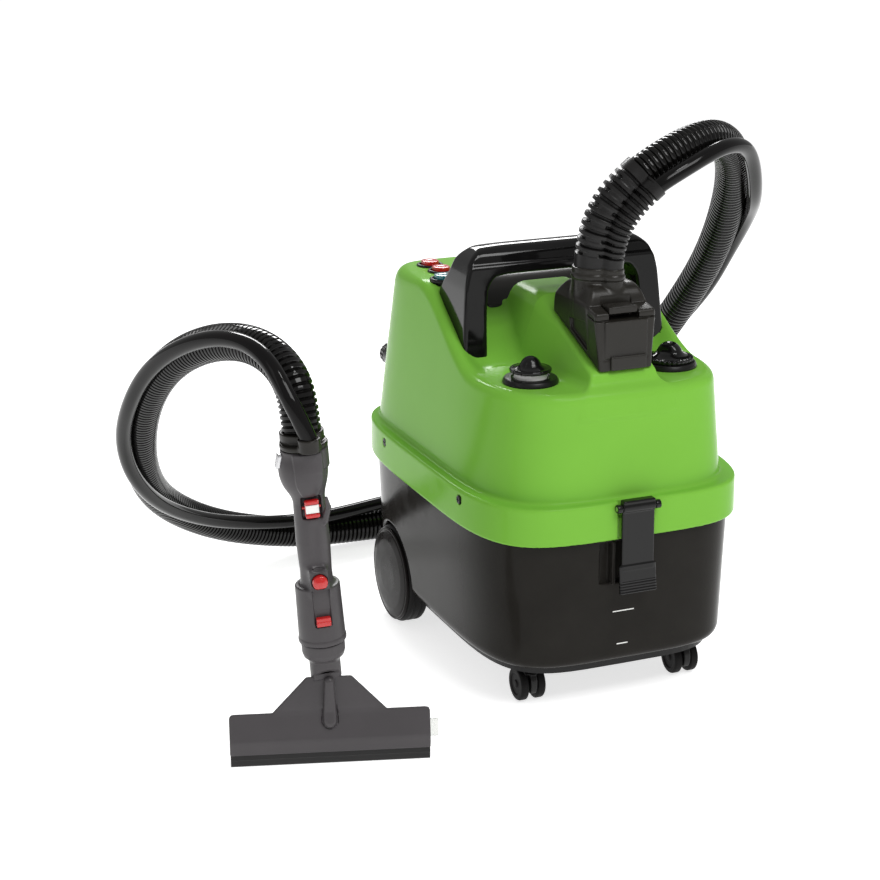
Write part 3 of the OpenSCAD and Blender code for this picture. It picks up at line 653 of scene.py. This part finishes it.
def add_caster(side):
    """Twin-wheel caster: a hooded fork on a stem, and two rounded wheels with hub steps."""
    name = "left" if side < 0 else "right"
    place = spot(CASTER_X * side, 0, 0)

    def fork(p):
        x, y, z = p
        stem = rod(p, CASTER_STEM, 2, 5, 36, 52, 0.8)
        collar = rod(p, CASTER_STEM, 2, 13.5, 38.5, 44.6, 1.2)
        web = meet(rod(p, (CASTER_AXLE[0], CASTER_AXLE[1] + 4), 0, 21, -4, 4, 1.5), 12 - z, 1)
        hood = maximum(rod(p, CASTER_AXLE, 0, 24, -10, 10, 2), 36 - z)
        body = join(join(web, collar, 4), hood, 2)
        # Room for the wheels, and the hole of their pin
        wheels = rod((abs(x), y, z), CASTER_AXLE, 0, CASTER_R + 1.2, 4.3, 40, 0.1)
        body = maximum(body, -wheels)
        return join(maximum(body, -rod(p, CASTER_AXLE, 0, PIN_R, -20, 20, 0.1)), stem, 1)
    moulded("caster_fork_" + name + "_body", fork, (-14, -198, 8), (14, -140, 52), 1.2, "black_plastic",
            side_body(side, "caster"), ["caster_fork_" + name], place)
    profile = rounded([(0, -6), (2.5, -6), (2.5, 5), (17, 5), (CASTER_R, 6.5), (CASTER_R, 13.5), (18.5, 15.4),
                       (13.5, 15.4), (12.5, 14.2), (5, 14.2), (4.2, 15.6), (0, 15.8)], 1.0)
    body = side_body(side, "caster_wheels")
    wheels = [lathe(f"caster_wheel_{name}_{i}", profile, "tyre_rubber", body, (),
                    place @ at(0, *CASTER_AXLE) @ turn(90 * way, "Y"), 48) for i, way in enumerate((-1, 1))]
    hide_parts("caster_wheels_" + name)


add_tank()
for side in (-1, 1):
    add_wheel(side)
    add_caster(side)


# ---- head

def cover_top(y):
    """Height of the cover's top, without its dish."""
    return DECK_Z + (HUMP_Z - DECK_Z) * smooth((y + 120) / 186)


def top_z(x, y):
    """Height of the cover's top. The slope is dished between its two shoulders."""
    dish = smooth((y + 120) / 60) * (1 - smooth(y / 45)) * (1 - smooth((abs(x) - 112) / 26))
    return cover_top(y) - 13 * dish


def seat_z(y):
    """Height of the inclined seat that the hose plug stands on."""
    return interp(y, (-209, -104, -64), (394, 437, HUMP_Z))


def head_field(p, inset=0.0):
    """Drafted body, its S-shaped top and the plinth of the plug, moved in by inset."""
    x, y, z = p
    t = (z - 198) / 262
    # The body narrows and leans back with height, and its corners are tighter at the rear
    power = 4.2 + (1.6 + 2.4 * clip(t, 0, 1)) * smooth((y + 21 * t) / 120)
    wall = egg(x, y + 21 * t, 160 - 22 * t, 235 - 36 * t, power) + inset
    rise = clip((y + 120) / 186, 0, 1)
    top = (z - top_z(x, y)) / hypot(1, 2.52 * rise * (1 - rise)) + inset
    body = meet(wall, top, 12 + 10 * smooth((y - 60) / 80))
    seat = (z - seat_z(y)) * 0.93 + inset
    flank = (abs(x) - 39.5 - 0.34 * (seat_z(y) - z)) * 0.93 + inset
    front = -0.966 * (y + 209) + 0.258 * (z - 394) + inset
    plinth = meet(meet(seat, flank, 4 + 12 * smooth((y + 130) / 60)), front, 4)
    plinth = meet(plinth, meet(y - 10, 352 - z, 4), 4)
    return join(body, plinth, 12)


def cover_field(p):
    x, y, z = p
    both_sides = (abs(x), y, z)
    skirt = meet(egg(x, y, HALF_W, HALF_L), maximum(SKIRT_LOW - z, z - SKIRT_TOP), 4)
    solid = join(maximum(head_field(p), 230 - z), skirt, 5)
    solid = join(solid, rod(p, INLET, 1, 18, 120, 219, 2), 3)
    # Recess of the latch, deeper where its hook swings
    solid = cut(solid, block(p, (0, -252, 240), (43, 18, 80), 1.5), 1)
    solid = cut(solid, block(p, (0, -246, 247.5), (43, 17.6, 25), 1.5), 1)
    solid = cut(solid, rod(both_sides, ROUND_MARK, 2, 18, DECK_Z, 420, 3), 3)
    hollow = minimum(maximum(egg(x, y, HALF_W - WALL, HALF_L - WALL), z - 247),
                     maximum(head_field(p, WALL), 240 - z))
    # Full thickness behind the latch and under the round marks
    backing = minimum(rod(both_sides, ROUND_MARK, 2, 23, 366, 400, 1),
                      block(p, (0, -237, 230), (56, 10, 60), 1))
    solid = cut(solid, maximum(hollow, -backing), 1)
    for hole in (rod(both_sides, (CAP_X, CAP_Y), 2, 22, 300, 420, 0.5),
                 rod(p, (0, DUCT_Y), 2, 21.5, 300, 480, 0.5),
                 *[rod(p, switch, 2, 14, 400, 480, 0.5) for switch in SWITCHES.values()],
                 *[rod(both_sides, (screw_y, SCREW_Z), 0, 5.3, 165, 180, 0.5) for screw_y in SCREW_YS]):
        solid = cut(solid, hole, 1.2)
    return solid


def add_cover():
    """Green cover, the latch's hinge lugs, the duct's collar on the seat, and the base of the steam knob."""
    moulded("head_cover", cover_field, (-HALF_W, -HALF_L - 1, SKIRT_LOW), (HALF_W, HALF_L, HUMP_Z + 1), 2.3,
            "green_shell", "head", ["top_cover"])
    lug = rounded([(2.5, -3), (5, -3), (5, 3), (2.5, 3)], 0.8)
    for i, x in enumerate((-24, 24)):
        lathe(f"latch_lug_{i}", lug, "handle_black", "head", (), spot(x, *LATCH_PIN, 90, "Y"), 32)
    collar = rounded([(20.9, -2), (27, -2), (27, 1.2), (20.9, 1.2)], 0.8)
    lathe("duct_collar", collar, "seal_rubber", "head", (), spot(0, DUCT_Y, 418.5, 22.3))
    base = rounded([(4.2, 184), (15, 184), (15, 205), (4.2, 205)], 1)
    lathe("knob_base", base, "black_plastic", "head", (), spot(KNOB[0], 0, KNOB[1], -90))


def add_handle():
    """Arch handle with a thick bar and feet that follow the slope of the cover."""
    def field(p):
        x, y, z = p
        outer = convex(abs(x), z, [(-50, 350), (132, 350), (127.5, 440), (124, 474), (116, 496), (101, 508.5),
                                   (84, BAR_TOP), (-50, BAR_TOP)], 4)
        inner = convex(abs(x), z, [(-50, 300), (101, 300), (98.5, 440), (95, 464), (87, 474.5),
                                   (76, BAR_BOTTOM), (-50, BAR_BOTTOM)], 3)
        front = meet(outer, -inner, 3)
        bar = convex(y, z, [(-57, 370), (6, 370), (6, 484), (-3, 500), (-16, BAR_TOP), (-32, BAR_TOP),
                            (-45, 500), (-49, 474)], 5)
        foot = convex(y, z, [(-57, 370), (31, 370), (31, 450), (-4, 488), (-49, 488)], 4)
        return meet(meet(front, join(bar, foot, 6), 5), (top_z(x, y) - 3 - z) * 0.85, 1)
    moulded("handle", field, (-130, -57, 372), (130, 31, BAR_TOP + 1), 1.8, "handle_black", "head",
            ["carry_handle"])


def add_rear_panel():
    """Dark trim that follows the slope behind the handle."""
    def field(p):
        x, y, z = p
        outline = convex(x, y, [(-73, 8), (73, 8), (73, 60), (-73, 60)], 8)
        return slab(outline, (z - top_z(x, y)) * 0.9, 2.3, 1)
    moulded("rear_trim", field, (-75, 6, 410), (75, 62, 458), 1.3, "dark_grey", "head",
            ["rear_panel"])


def add_screws():
    """Screw heads with a cross recess, at the bottom of their counterbores."""
    def field(p):
        head = post(p, 4.9, -0.5, 4, 0.9)
        head = cut(head, block(p, (0, 0, 4.5), (6, 1.4, 4), 0.3), 0.3)
        return cut(head, block(p, (0, 0, 4.5), (1.4, 6, 4), 0.3), 0.3)

    heads = []
    for side in (-1, 1):
        for y in SCREW_YS:
            place = spot(165 * side, y, SCREW_Z, 90 * side, "Y")
            heads.append(moulded(f"skirt_screw_{len(heads)}", field, (-5, -5, -1), (5, 5, 4), 0.6,
                                 "black_plastic", "head", (), place))
    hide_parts("skirt_screws")


def add_latch():
    """Hinged strap that hooks over the skirt, with a flared, ribbed thumb tab."""
    def field(p):
        x, y, z = p
        knuckle = rod(p, LATCH_PIN, 0, 5.3, -20, 20, 1)
        hook = block(p, (0, -249.5, 252.2), (40, 10.5, 7.6), 2)
        strap = block(p, (0, -250, 211), (40, 5, 76), 1.5)
        # The thumb tab leans out below the strap, with ribs across its foot
        lean = maximum(176 - z, 0)
        flare = block((x, y + 0.11 * lean, z), (0, -250.2, 162), (46, 4.8, 34), 1.8)
        flare = flare - 0.3 * np.cos(z * 2 * math.pi / 3.2) * (z < 160)
        body = join(join(join(knuckle, hook, 2), strap, 2), flare, 3)
        body = join(body, block(p, (0, -252.6, 174), (38, 1.6, 2.4), 0.6), 0.8)
        return maximum(body, -rod(p, LATCH_PIN, 0, PIN_R, -30, 30, 0.1))
    moulded("latch", field, (-25, -258, 143), (25, -243, 258), 1.2, "handle_black", "latch",
            ["latch_strap"])


def add_switches():
    """Round bezels with a rocker lens in each."""
    def lens(p):
        x, y, z = p
        radial = hypot(x, y)
        wide = meet(radial - 11.2, abs(x) - 10.6, 1.5)
        domed = meet(wide, z - 7.2 + radial ** 2 / 160, 1.2)
        groove = meet(abs(y) - 0.8, wide + 1.5, 0.5)
        return cut(meet(domed, -3 - z, 1), maximum(groove, 6.7 - z), 0.5)

    ring = rounded([(12.7, -14), (13, -2), (16.4, -1.5), (16.4, 1.4), (15, 2.6), (13.2, 2.6), (12.6, 1.4),
                    (12.4, -12), (3, -12.5), (3, -14)], 0.6)
    for node, (x, y) in SWITCHES.items():
        z = HUMP_Z if y > 60 else float(cover_top(np.array(y))) + 1.5
        lathe("bezel_" + node, ring, "black_plastic", "head", (), spot(x, y, z), 48)
        slot = "teal_button" if node == "steam_switch" else "red_button"
        body = node.replace("_switch", "_rocker")
        moulded(node + "_lens", lens, (-12, -12, -4), (12, 12, 8), 0.8, slot, body, [node],
                spot(x, y, HUMP_Z))
    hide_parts("switch_bezels")


def add_knob():
    """Fluted steam control knob on the rear wall, and the mains inlet."""
    def flutes(r, z, angle):
        return 0.7 * math.cos(16 * angle) if r > 13 and 9 < z < 21 else 0
    profile = rounded([(3.95, -24), (3.95, 6), (13.8, 6), (13.8, 9), (13.6, 21), (12, 24), (3, 24.6),
                       (0, 24.6)], 0.8)
    lathe("control_knob", [(0, -24)] + profile, "black_plastic", "knob", ["steam_knob"],
          spot(KNOB[0], 200, KNOB[1], -90), 128, flutes)
    flange = rounded([(5, 190), (9, 190), (9, 219.5), (14, 219.5), (14, 223), (12, 226), (7, 226),
                      (5, 224)], 0.8)
    lathe("inlet_gland", flange, "black_plastic", "head", ["power_inlet"],
          spot(INLET[0], 0, INLET[1], -90), 48)


def add_fillers():
    """Filler flanges on the deck, the water cap, and the detergent cap on its pale stopper."""
    flange = rounded([(15, 340), (21.8, 340), (21.8, DECK_Z - 1), (32, DECK_Z - 1), (32, 378), (30.2, 382),
                      (22, 383), (20.5, 381.5), (15, 381)], 1.2)
    for name, x in (("water", CAP_X), ("detergent", -CAP_X)):
        lathe(name + "_neck", flange, "black_plastic", "head", [name + "_filler"], spot(x, CAP_Y, 0), 72)

    # Wide skirted disc with a wing grip that rises to a dome
    def water(p):
        x, y, z = p
        disc = post(p, 27.5, 0.2, 5.5, 1.8)
        stem = post(p, 14.7, -18, 2, 1)
        dome = np.sqrt(x ** 2 + y ** 2 + ((z - 6) * 0.95) ** 2) - 15.6
        dome = meet(dome, abs(x * 0.8 + y * 0.6) - 10, 5)
        cone = hypot(x, y) - interp(z, (4, 12), (24, 12))
        cone = meet(meet(cone, z - 12, 3), 3 - z, 1)
        grip = 0.5 * np.cos(np.arctan2(y, x) * 30) * (z < 5.5) * (z > 0.5) * (hypot(x, y) > 24)
        return join(join(join(disc - grip, stem, 1), cone, 4), dome, 3)
    moulded("water_cap_top", water, (-29, -29, -18), (29, 29, 22), 1.1, "handle_black", "water_lid",
            ["water_cap"], spot(CAP_X, CAP_Y, DECK_Z + 6.2))
    stopper = rounded([(8.1, -18), (14.8, -18), (14.8, 0), (17.6, 0), (18.6, 1), (18.6, 7), (17.6, 8),
                       (8.1, 8)], 0.7)
    lathe("detergent_stopper_ring", stopper, "pale_seal", "detergent_stopper", ["detergent_seal"],
          spot(-CAP_X, CAP_Y, DECK_Z + 4.2))

    def detergent(p):
        x, y, z = p
        disc = post(p, 24, 0.1, 4.6, 1.6)
        stem = post(p, 7.9, -22, 2, 0.8)
        cone = hypot(x, y) - interp(z, (4, 8), (19, 12))
        cone = meet(meet(cone, z - 8, 2), 3 - z, 1)
        dome = np.sqrt(x ** 2 + y ** 2 + ((z - 5) * 0.95) ** 2) - 12.3
        return join(join(join(disc, stem, 1), cone, 3), dome, 3)
    moulded("detergent_cap_top", detergent, (-25, -25, -22), (25, 25, 18), 1.1, "handle_black",
            "detergent_lid", ["detergent_cap"], spot(-CAP_X, CAP_Y, DECK_Z + 12.4))


add_cover()
add_handle()
add_rear_panel()
add_screws()
add_latch()
add_switches()
add_knob()
add_fillers()


# ---- hose plug

def plug_field(p):
    """Tapered box with a stepped shoulder, a lobed neck for the hoses and a spigot into the duct."""
    x, y, z = p
    across = abs(x - 2)
    half = 33 + 4.5 * smooth((z - 395) / 66)
    base = z - interp(y, (-211, -104, -92), (394.6, 438.4, 443))
    front = convex(y, z, [(-211, 380), (-150, 380), (-150, 468), (-183, 466.3), (-207.5, 461)], 3)
    shoulder = convex(y, z, [(-187, 380), (-100, 380), (-92, 436), (-100, 468), (-122, 486), (-176, 486),
                             (-187, 475)], 7)
    body = join(meet(front, across - half, 4),
                meet(shoulder, across - half + 0.4 * maximum(z - 464, 0), 5), 2)
    body = meet(body, -base, 1.5)
    # Neck with a lobe for each hose
    for lobe in (rod(p, NECK, 2, 25, 440, 503, 1.5), rod(p, STEAM_NECK, 2, 13.5, 440, 503, 1.5)):
        body = join(body, lobe, 3)
    ring = join(rod(p, NECK, 2, 26.3, 490, 496, 1.5), rod(p, STEAM_NECK, 2, 14.8, 490, 496, 1.5), 4)
    body = join(body, ring, 1)
    # Slanted recess on the left side
    recess = convex(y, z, [(-181, 413), (-140, 430), (-140, 444), (-181, 447)], 3)
    body = cut(body, meet(recess, x - 2 + half - 3, 1), 1)
    # Front panel in a shallow frame, and the catch below it
    body = cut(body, block(p, (2, -212, 431), (58, 5, 48), 1.5), 0.8)
    body = join(body, block(p, (2, -208.5, 431), (53, 4, 43), 1.5), 0.8)
    catch = block(p, (4, -211.6, 404), (44, 5, 16), 1.5)
    body = join(body, meet(catch, -base, 0.5), 0.8)
    # Groove under the button's plate, and the button's hole
    groove = maximum(abs(z - interp(y, (-211, -183), (452, 457))) - 0.6, abs(body + 0.5) - 1)
    body = cut(body, maximum(groove, y + 187), 0.4)
    body = cut(body, block(p, (0, -196, 464.5), (37.6, 21.6, 25), 1), 0.8)
    body = join(body, rod(p, (0, DUCT_Y), 2, 20.5, 388, 440, 1.2), 0.8)
    return cut(body, rod(p, (0, DUCT_Y), 2, 16, 380, 480, 0.5), 1)


def add_plug():
    moulded("plug_body", plug_field, (-41, -215, 388), (44, -90, 504), 1.4, "dark_grey", "hose_set",
            ["hose_plug"])

    def button(p):
        x, y, z = p
        body = block(p, (0, -196, 462.8), (35.6, 19.6, 8), 1.6)
        ridges = 0.35 * np.cos(y * 2 * math.pi / 3.4) * (z > 466) * (abs(x) < 14)
        return body - ridges
    moulded("plug_button_cap", button, (-19, -207, 458), (19, -185, 468), 0.8, "dark_grey", "plug_release",
            ["plug_button"])


add_plug()


# ---- gun

TRIGGER_Z = 237
RELEASE_Z = 155.5
LOCK_Z = 110
SWIVEL_Z = 288
BULB_TOP = 299.8


def bulb_field(p):
    """Bulb of the gun, cut flat at the top, with a short collar."""
    x, y, z = p
    bulb = (np.sqrt(((x + 3) / 26.2) ** 2 + (y / 26.5) ** 2 + ((z - 276) / 34) ** 2) - 1) * 27
    return join(meet(bulb, z - BULB_TOP, 3), post(p, 25.4, 278, BULB_TOP, 1), 2)


def gun_field(p):
    """Sleeve, grip and bulb on one axis, with the trigger bay and the button holes cut into their front."""
    x, y, z = p
    radial = hypot(x, y)
    sleeve = slab(radial - interp(z, (84, 142), (25.3, 24.2)), z - 113.5, 32.5, 2)
    lip = post(p, 25.9, 80, 86, 1.5)
    # Grip: a round tube, set back a little above the sleeve, that widens into the bulb
    wide = interp(z, (148, 160, 195, 240), (17.6, 17, 18.3, 17.2))
    grip = meet(meet(radial - wide, 140 - z, 2), z - 275, 2)
    bulb = bulb_field(p)
    # Raised panel on the front of the bulb, narrow where it meets the trigger
    outline = convex(x, z, [(-8, 249), (8, 249), (15, 264), (16, 299), (-16, 299), (-15, 264)], 3)
    panel = meet(meet(bulb - 2.4, outline, 1.5), y + 6, 1)
    body = join(join(sleeve, lip, 1), grip, 5)
    # Housing of the release button
    body = join(body, block(p, (0, -15, 154), (21, 19, 32), 4), 5)
    body = join(join(body, bulb, 7), panel, 1)
    # Horn beside the trigger, and the dark side's lug
    horn = join(capsule(p, (12.5, -13, 220), (16.5, -25, 238), 4.5, 3),
                capsule(p, (16.5, -25, 238), (14.5, -31, 251), 3, 1.6), 1)
    body = join(body, horn, 3)
    # Flat between the lock and the release, and a shallow groove up the grip with a line across its foot
    body = cut(body, block(p, (0, -26, 125), (18, 10, 42), 0.8), 1)
    body = cut(body, capsule(p, (0, -25.5, 176), (0, -25.5, 214), 9.5, 9.5), 2)
    body = cut(body, block(p, (0, -19, 169), (15, 5, 0.9), 0.2), 0.5)
    # Trigger bay, release button hole, lock window and swivel button hole
    body = cut(body, block(p, (0, -25, TRIGGER_Z), (21, 30.4, 25.6), 2.5), 1)
    body = cut(body, rod(p, (0, RELEASE_Z), 1, 8.7, -40, -12, 0.4), 0.6)
    body = cut(body, block(p, (0, -30, LOCK_Z + 3), (16.8, 19, 18.6), 0.8), 0.6)
    body = cut(body, rod(p, (0, SWIVEL_Z), 0, 6.2, -40, -21.5, 0.4), 0.6)
    # Seam of the two halves
    seam = maximum(abs(y - 4) - 0.35, 155 - z)
    body = cut(body, maximum(seam, -(body + 0.7)), 0.4)
    bore = join(post(p, 18.05, 60, 102, 0.3), rod(p, (0, 3.5), 2, 11, 90, 290, 0.3), 1)
    bore = join(bore, post(p, 18.1, 280, 320, 0.3), 1)
    return cut(body, bore, 0.8)


def add_gun():
    """Housing with its trigger, the nozzle's release and lock, and the swivel button."""
    moulded("gun_body", gun_field, (-33, -34, 80), (33, 33, 301), 1.4, "gun_grey", "gun", ["gun_housing"],
            GUN)

    def trigger(p):
        body = block(p, (0, -16.5, TRIGGER_Z), (15, 7.6, 17.5), 2)
        for rise in (7.4, -7.4):
            body = join(body, block(p, (0, -20, TRIGGER_Z + rise), (15, 7, 4.6), 1.6), 1.5)
        return join(body, rod(p, (-14, TRIGGER_Z), 0, 1.5, -10, 10, 0.3), 0.5)
    moulded("trigger", trigger, (-15, -25, 225), (15, -11, 249), 0.8, "red_button", "trigger",
            ["gun_trigger"], GUN)
    plate("trigger_pad", (0, -21.2, TRIGGER_Z), (14, 3, 9), 0.6, "pale_seal", "trigger", (), GUN)

    def release(p):
        x, y, z = p
        body = rod(p, (0, RELEASE_Z), 1, 7.9, -29.5, -20, 1.2)
        crown = np.sqrt(x ** 2 + (y + 25.5) ** 2 * 1.6 + (z - RELEASE_Z) ** 2) - 8
        return meet(join(body, crown, 1), RELEASE_Z - 6 - z, 0.8)
    moulded("release_button", release, (-9, -33, 146), (9, -19, 165), 0.8, "red_button", "nozzle_release",
            ["gun_release"], GUN)

    def lock(p):
        body = block(p, (0, -24.2, LOCK_Z), (15.4, 6.6, 9.8), 1)
        return join(body, block(p, (0, -27.2, LOCK_Z), (15.4, 2, 1.6), 0.6), 0.8)
    moulded("lock_slide", lock, (-9, -30, 104), (9, -19, 116), 0.8, "red_button", "nozzle_lock",
            ["gun_lock_slide"], GUN)

    def stud(p):
        low, high = SWIVEL_Z - 8, SWIVEL_Z + 8
        outline = convex(p[1], p[2], [(-6, low), (6, low), (6, high), (-6, high)], 3)
        return meet(meet(bulb_field(p) - 3.6, outline, 1.5), p[0] + 23, 1)
    moulded("swivel_stud", stud, (-36, -8, 278), (-22, 8, 298), 0.9, "steel", "swivel_release",
            ["swivel_button"], GUN)


add_gun()


# ---- nozzle

NOZZLE_HALF = 109


def nozzle_field(p):
    """Bar and flare, whose tops fall away to the back, with a teardrop rib on the front."""
    x, y, z = p
    wide, low, top, flare_top = NOZZLE_HALF, 14, 61, 102
    fall = z + 0.55 * maximum(y + 14, 0)
    bar = meet(convex(x, fall, [(-wide, low), (wide, low), (wide, top), (-wide, top)], 1.5),
               (abs(x) - wide + fall - top) * 0.7 + 1.8, 2.5)
    side = convex(y, z, [(-20, low), (18, low), (18, 66), (-13, 66), (-14.2, top), (-22, 30)], 1)
    bar = meet(bar, side, 1)
    flare = convex(x, fall, [(-62, 40), (62, 40), (62, top), (24.5, flare_top), (-24.5, flare_top),
                             (-62, top)], 1.5)
    side = convex(y, z, [(-17, 42), (4, 42), (2, 104), (-13.6, 104), (-14.2, top)], 1)
    flare = meet(flare, side, 1.5)
    body = join(bar, flare, 1)
    # The rib stands in a shallow trough
    face = interp(z, (30, top, flare_top), (-22, -14.2, -13.6))
    trough = capsule(p, (0, -14, 94), (0, -17, 50), 7, 9)
    body = cut(body, meet(trough, y - face - 1.2, 0.5), 0.6)
    rib = meet(capsule(p, (0, -13, 94), (0, -16.5, 50), 5.5, 7.5), face - 5 - y, 2)
    body = join(body, rib, 0.8)
    return cut(body, block(p, (0, -4, 28), (2 * NOZZLE_HALF - 28, 10, 36), 1), 1)


def neck_field(p):
    """Round neck of the nozzle, in the gun's frame: it carries the gun's lean."""
    x, y, z = p
    # The front of its foot tapers in behind the flare
    neck = meet(post(p, 16.8, 36, 66, 1), -9.5 - 0.9 * maximum(z - 42.5, 0) - y, 1.5)
    ring = meet(hypot(x, y) - interp(z, (58, 63, 68), (17, 22, 23.5)), abs(z - 68.5) - 11, 2)
    body = join(join(neck, ring, 2), post(p, 17.9, 70, 99, 1), 1.5)
    return cut(body, post(p, 13, 44, 120, 0.3), 0.6)


def add_nozzle():
    """Floor nozzle with its neck, rubber blade, bristles and clear splash lip."""
    moulded("nozzle_shell", nozzle_field, (-NOZZLE_HALF, -26, 13), (NOZZLE_HALF, 20, 106), 1.6, "gun_grey",
            "nozzle", ["nozzle_body"], NOZZLE)
    moulded("nozzle_neck", neck_field, (-29, -29, 38), (29, 29, 99), 1.3, "gun_grey", "nozzle", (), GUN)
    add_blade()
    add_bristles()
    plate("splash_lip", (NOZZLE_HALF - 60, 19.2, 20), (NOZZLE_HALF + 34, 1.8, 21), 0.6, "clear_lip", "nozzle",
          ["nozzle_lip"], NOZZLE)


def add_blade():
    """Rubber blade along the front of the nozzle, with a thin edge and a bead above it."""
    profile = rounded([(-18.6, 15.5), (-14.2, 15.5), (-14.2, 4), (-15.4, 0), (-16.6, 0), (-17.4, 4), (-18, 8),
                       (-18.6, 8.6)], 0.5, 2)
    xs = np.linspace(-NOZZLE_HALF + 0.5, NOZZLE_HALF - 0.5, 60)
    points = [(x, y, z) for x in xs for y, z in profile]
    count = len(profile)
    faces = []
    for start in range(0, len(points) - count, count):
        for k in range(count):
            after = (k + 1) % count
            faces.append([start + k, start + after, start + count + after, start + count + k])
    faces += [list(range(count)), list(range(len(points) - count, len(points)))]
    tidy_normals(piece("blade", points, faces, "seal_rubber", "nozzle", ["nozzle_blade"], NOZZLE))


def add_bristles():
    """Rows of bristle tufts, each a small bundle of tapered strands."""
    strand = [[0, 1, 4, 3], [1, 2, 5, 4], [2, 0, 3, 5], [3, 4, 5], [2, 1, 0]]
    chance = np.random.default_rng(7)
    points, faces = [], []
    for row in (-3.5, 0, 3.5):
        for x in np.arange(-NOZZLE_HALF + 9, NOZZLE_HALF - 8, 3.2):
            for _ in range(7):
                foot = np.array([x + chance.uniform(-1.3, 1.3), 8 + row + chance.uniform(-1.3, 1.3), 15])
                tip = foot + [chance.uniform(-0.9, 0.9), chance.uniform(-0.9, 0.9), 0]
                tip[2] = 0.5 + chance.uniform(0, 0.9)
                base = len(points)
                for centre, r in ((foot, 0.34), (tip, 0.2)):
                    points += [tuple(centre + r * np.array([math.cos(a), math.sin(a), 0]))
                               for a in (0, 2.094, 4.189)]
                faces += [[base + n for n in face] for face in strand]
    tidy_normals(piece("bristle_rows", points, faces, "bristle", "nozzle", ["nozzle_bristles"], NOZZLE))
    plate("bristle_holder", (0, 8, 17), (2 * NOZZLE_HALF - 12, 12, 6), 1, "black_plastic", "nozzle", (),
          NOZZLE)


add_nozzle()


# ---- floor and light

def add_stage():
    """White floor that glows a little, so that it stays white up to the horizon."""
    half = 60
    corners = [(-half, -half, 0), (half, -half, 0), (half, half, 0), (-half, half, 0)]
    mesh = bpy.data.meshes.new("floor")
    mesh.from_pydata(corners, [], [(0, 1, 2, 3)])
    floor = add_object("floor", mesh)
    floor.location.z = -0.0005
    made = bpy.data.materials.new("floor_white")
    made.use_nodes = True
    fill(made.node_tree.nodes["Principled BSDF"], Base_Color=(0.85, 0.85, 0.85, 1),
         Emission_Color=(1, 1, 1, 1), Emission_Strength=0.7, Roughness=0.7, Specular_IOR_Level=0.1)
    mesh.materials.append(made)


def add_light(name, place, target, size, power):
    """Soft box of a size in metres and a power in watts, turned to its target."""
    data = bpy.data.lights.new(name, "AREA")
    data.shape = "RECTANGLE"
    data.size, data.size_y = size
    data.energy = power
    made = add_object(name, data)
    made.location = place
    made.rotation_mode = "QUATERNION"
    made.rotation_quaternion = (Vector(target) - Vector(place)).to_track_quat("-Z", "Y")


def add_lights():
    """Even white surroundings, a soft key from the front, and boxes for the left faces and the edges."""
    world = bpy.data.worlds.new("studio")
    world.use_nodes = True
    fill(world.node_tree.nodes["Background"], Color=(1, 1, 1, 1), Strength=0.4)
    bpy.context.scene.world = world
    middle = (0.1, 0, 0.25)
    add_light("key", (0.5, -1.6, 2.1), middle, (1.2, 0.9), 27)
    add_light("left_box", (-2.1, -0.6, 1.3), middle, (0.6, 1.6), 2)
    add_light("small_box", (0.25, -0.9, 2.3), middle, (0.3, 0.3), 5)
    add_light("rear_box", (0.6, 1.9, 1.7), middle, (1.4, 0.5), 38)


add_stage()
add_lights()
bpy.context.scene.view_settings.view_transform = "Standard"
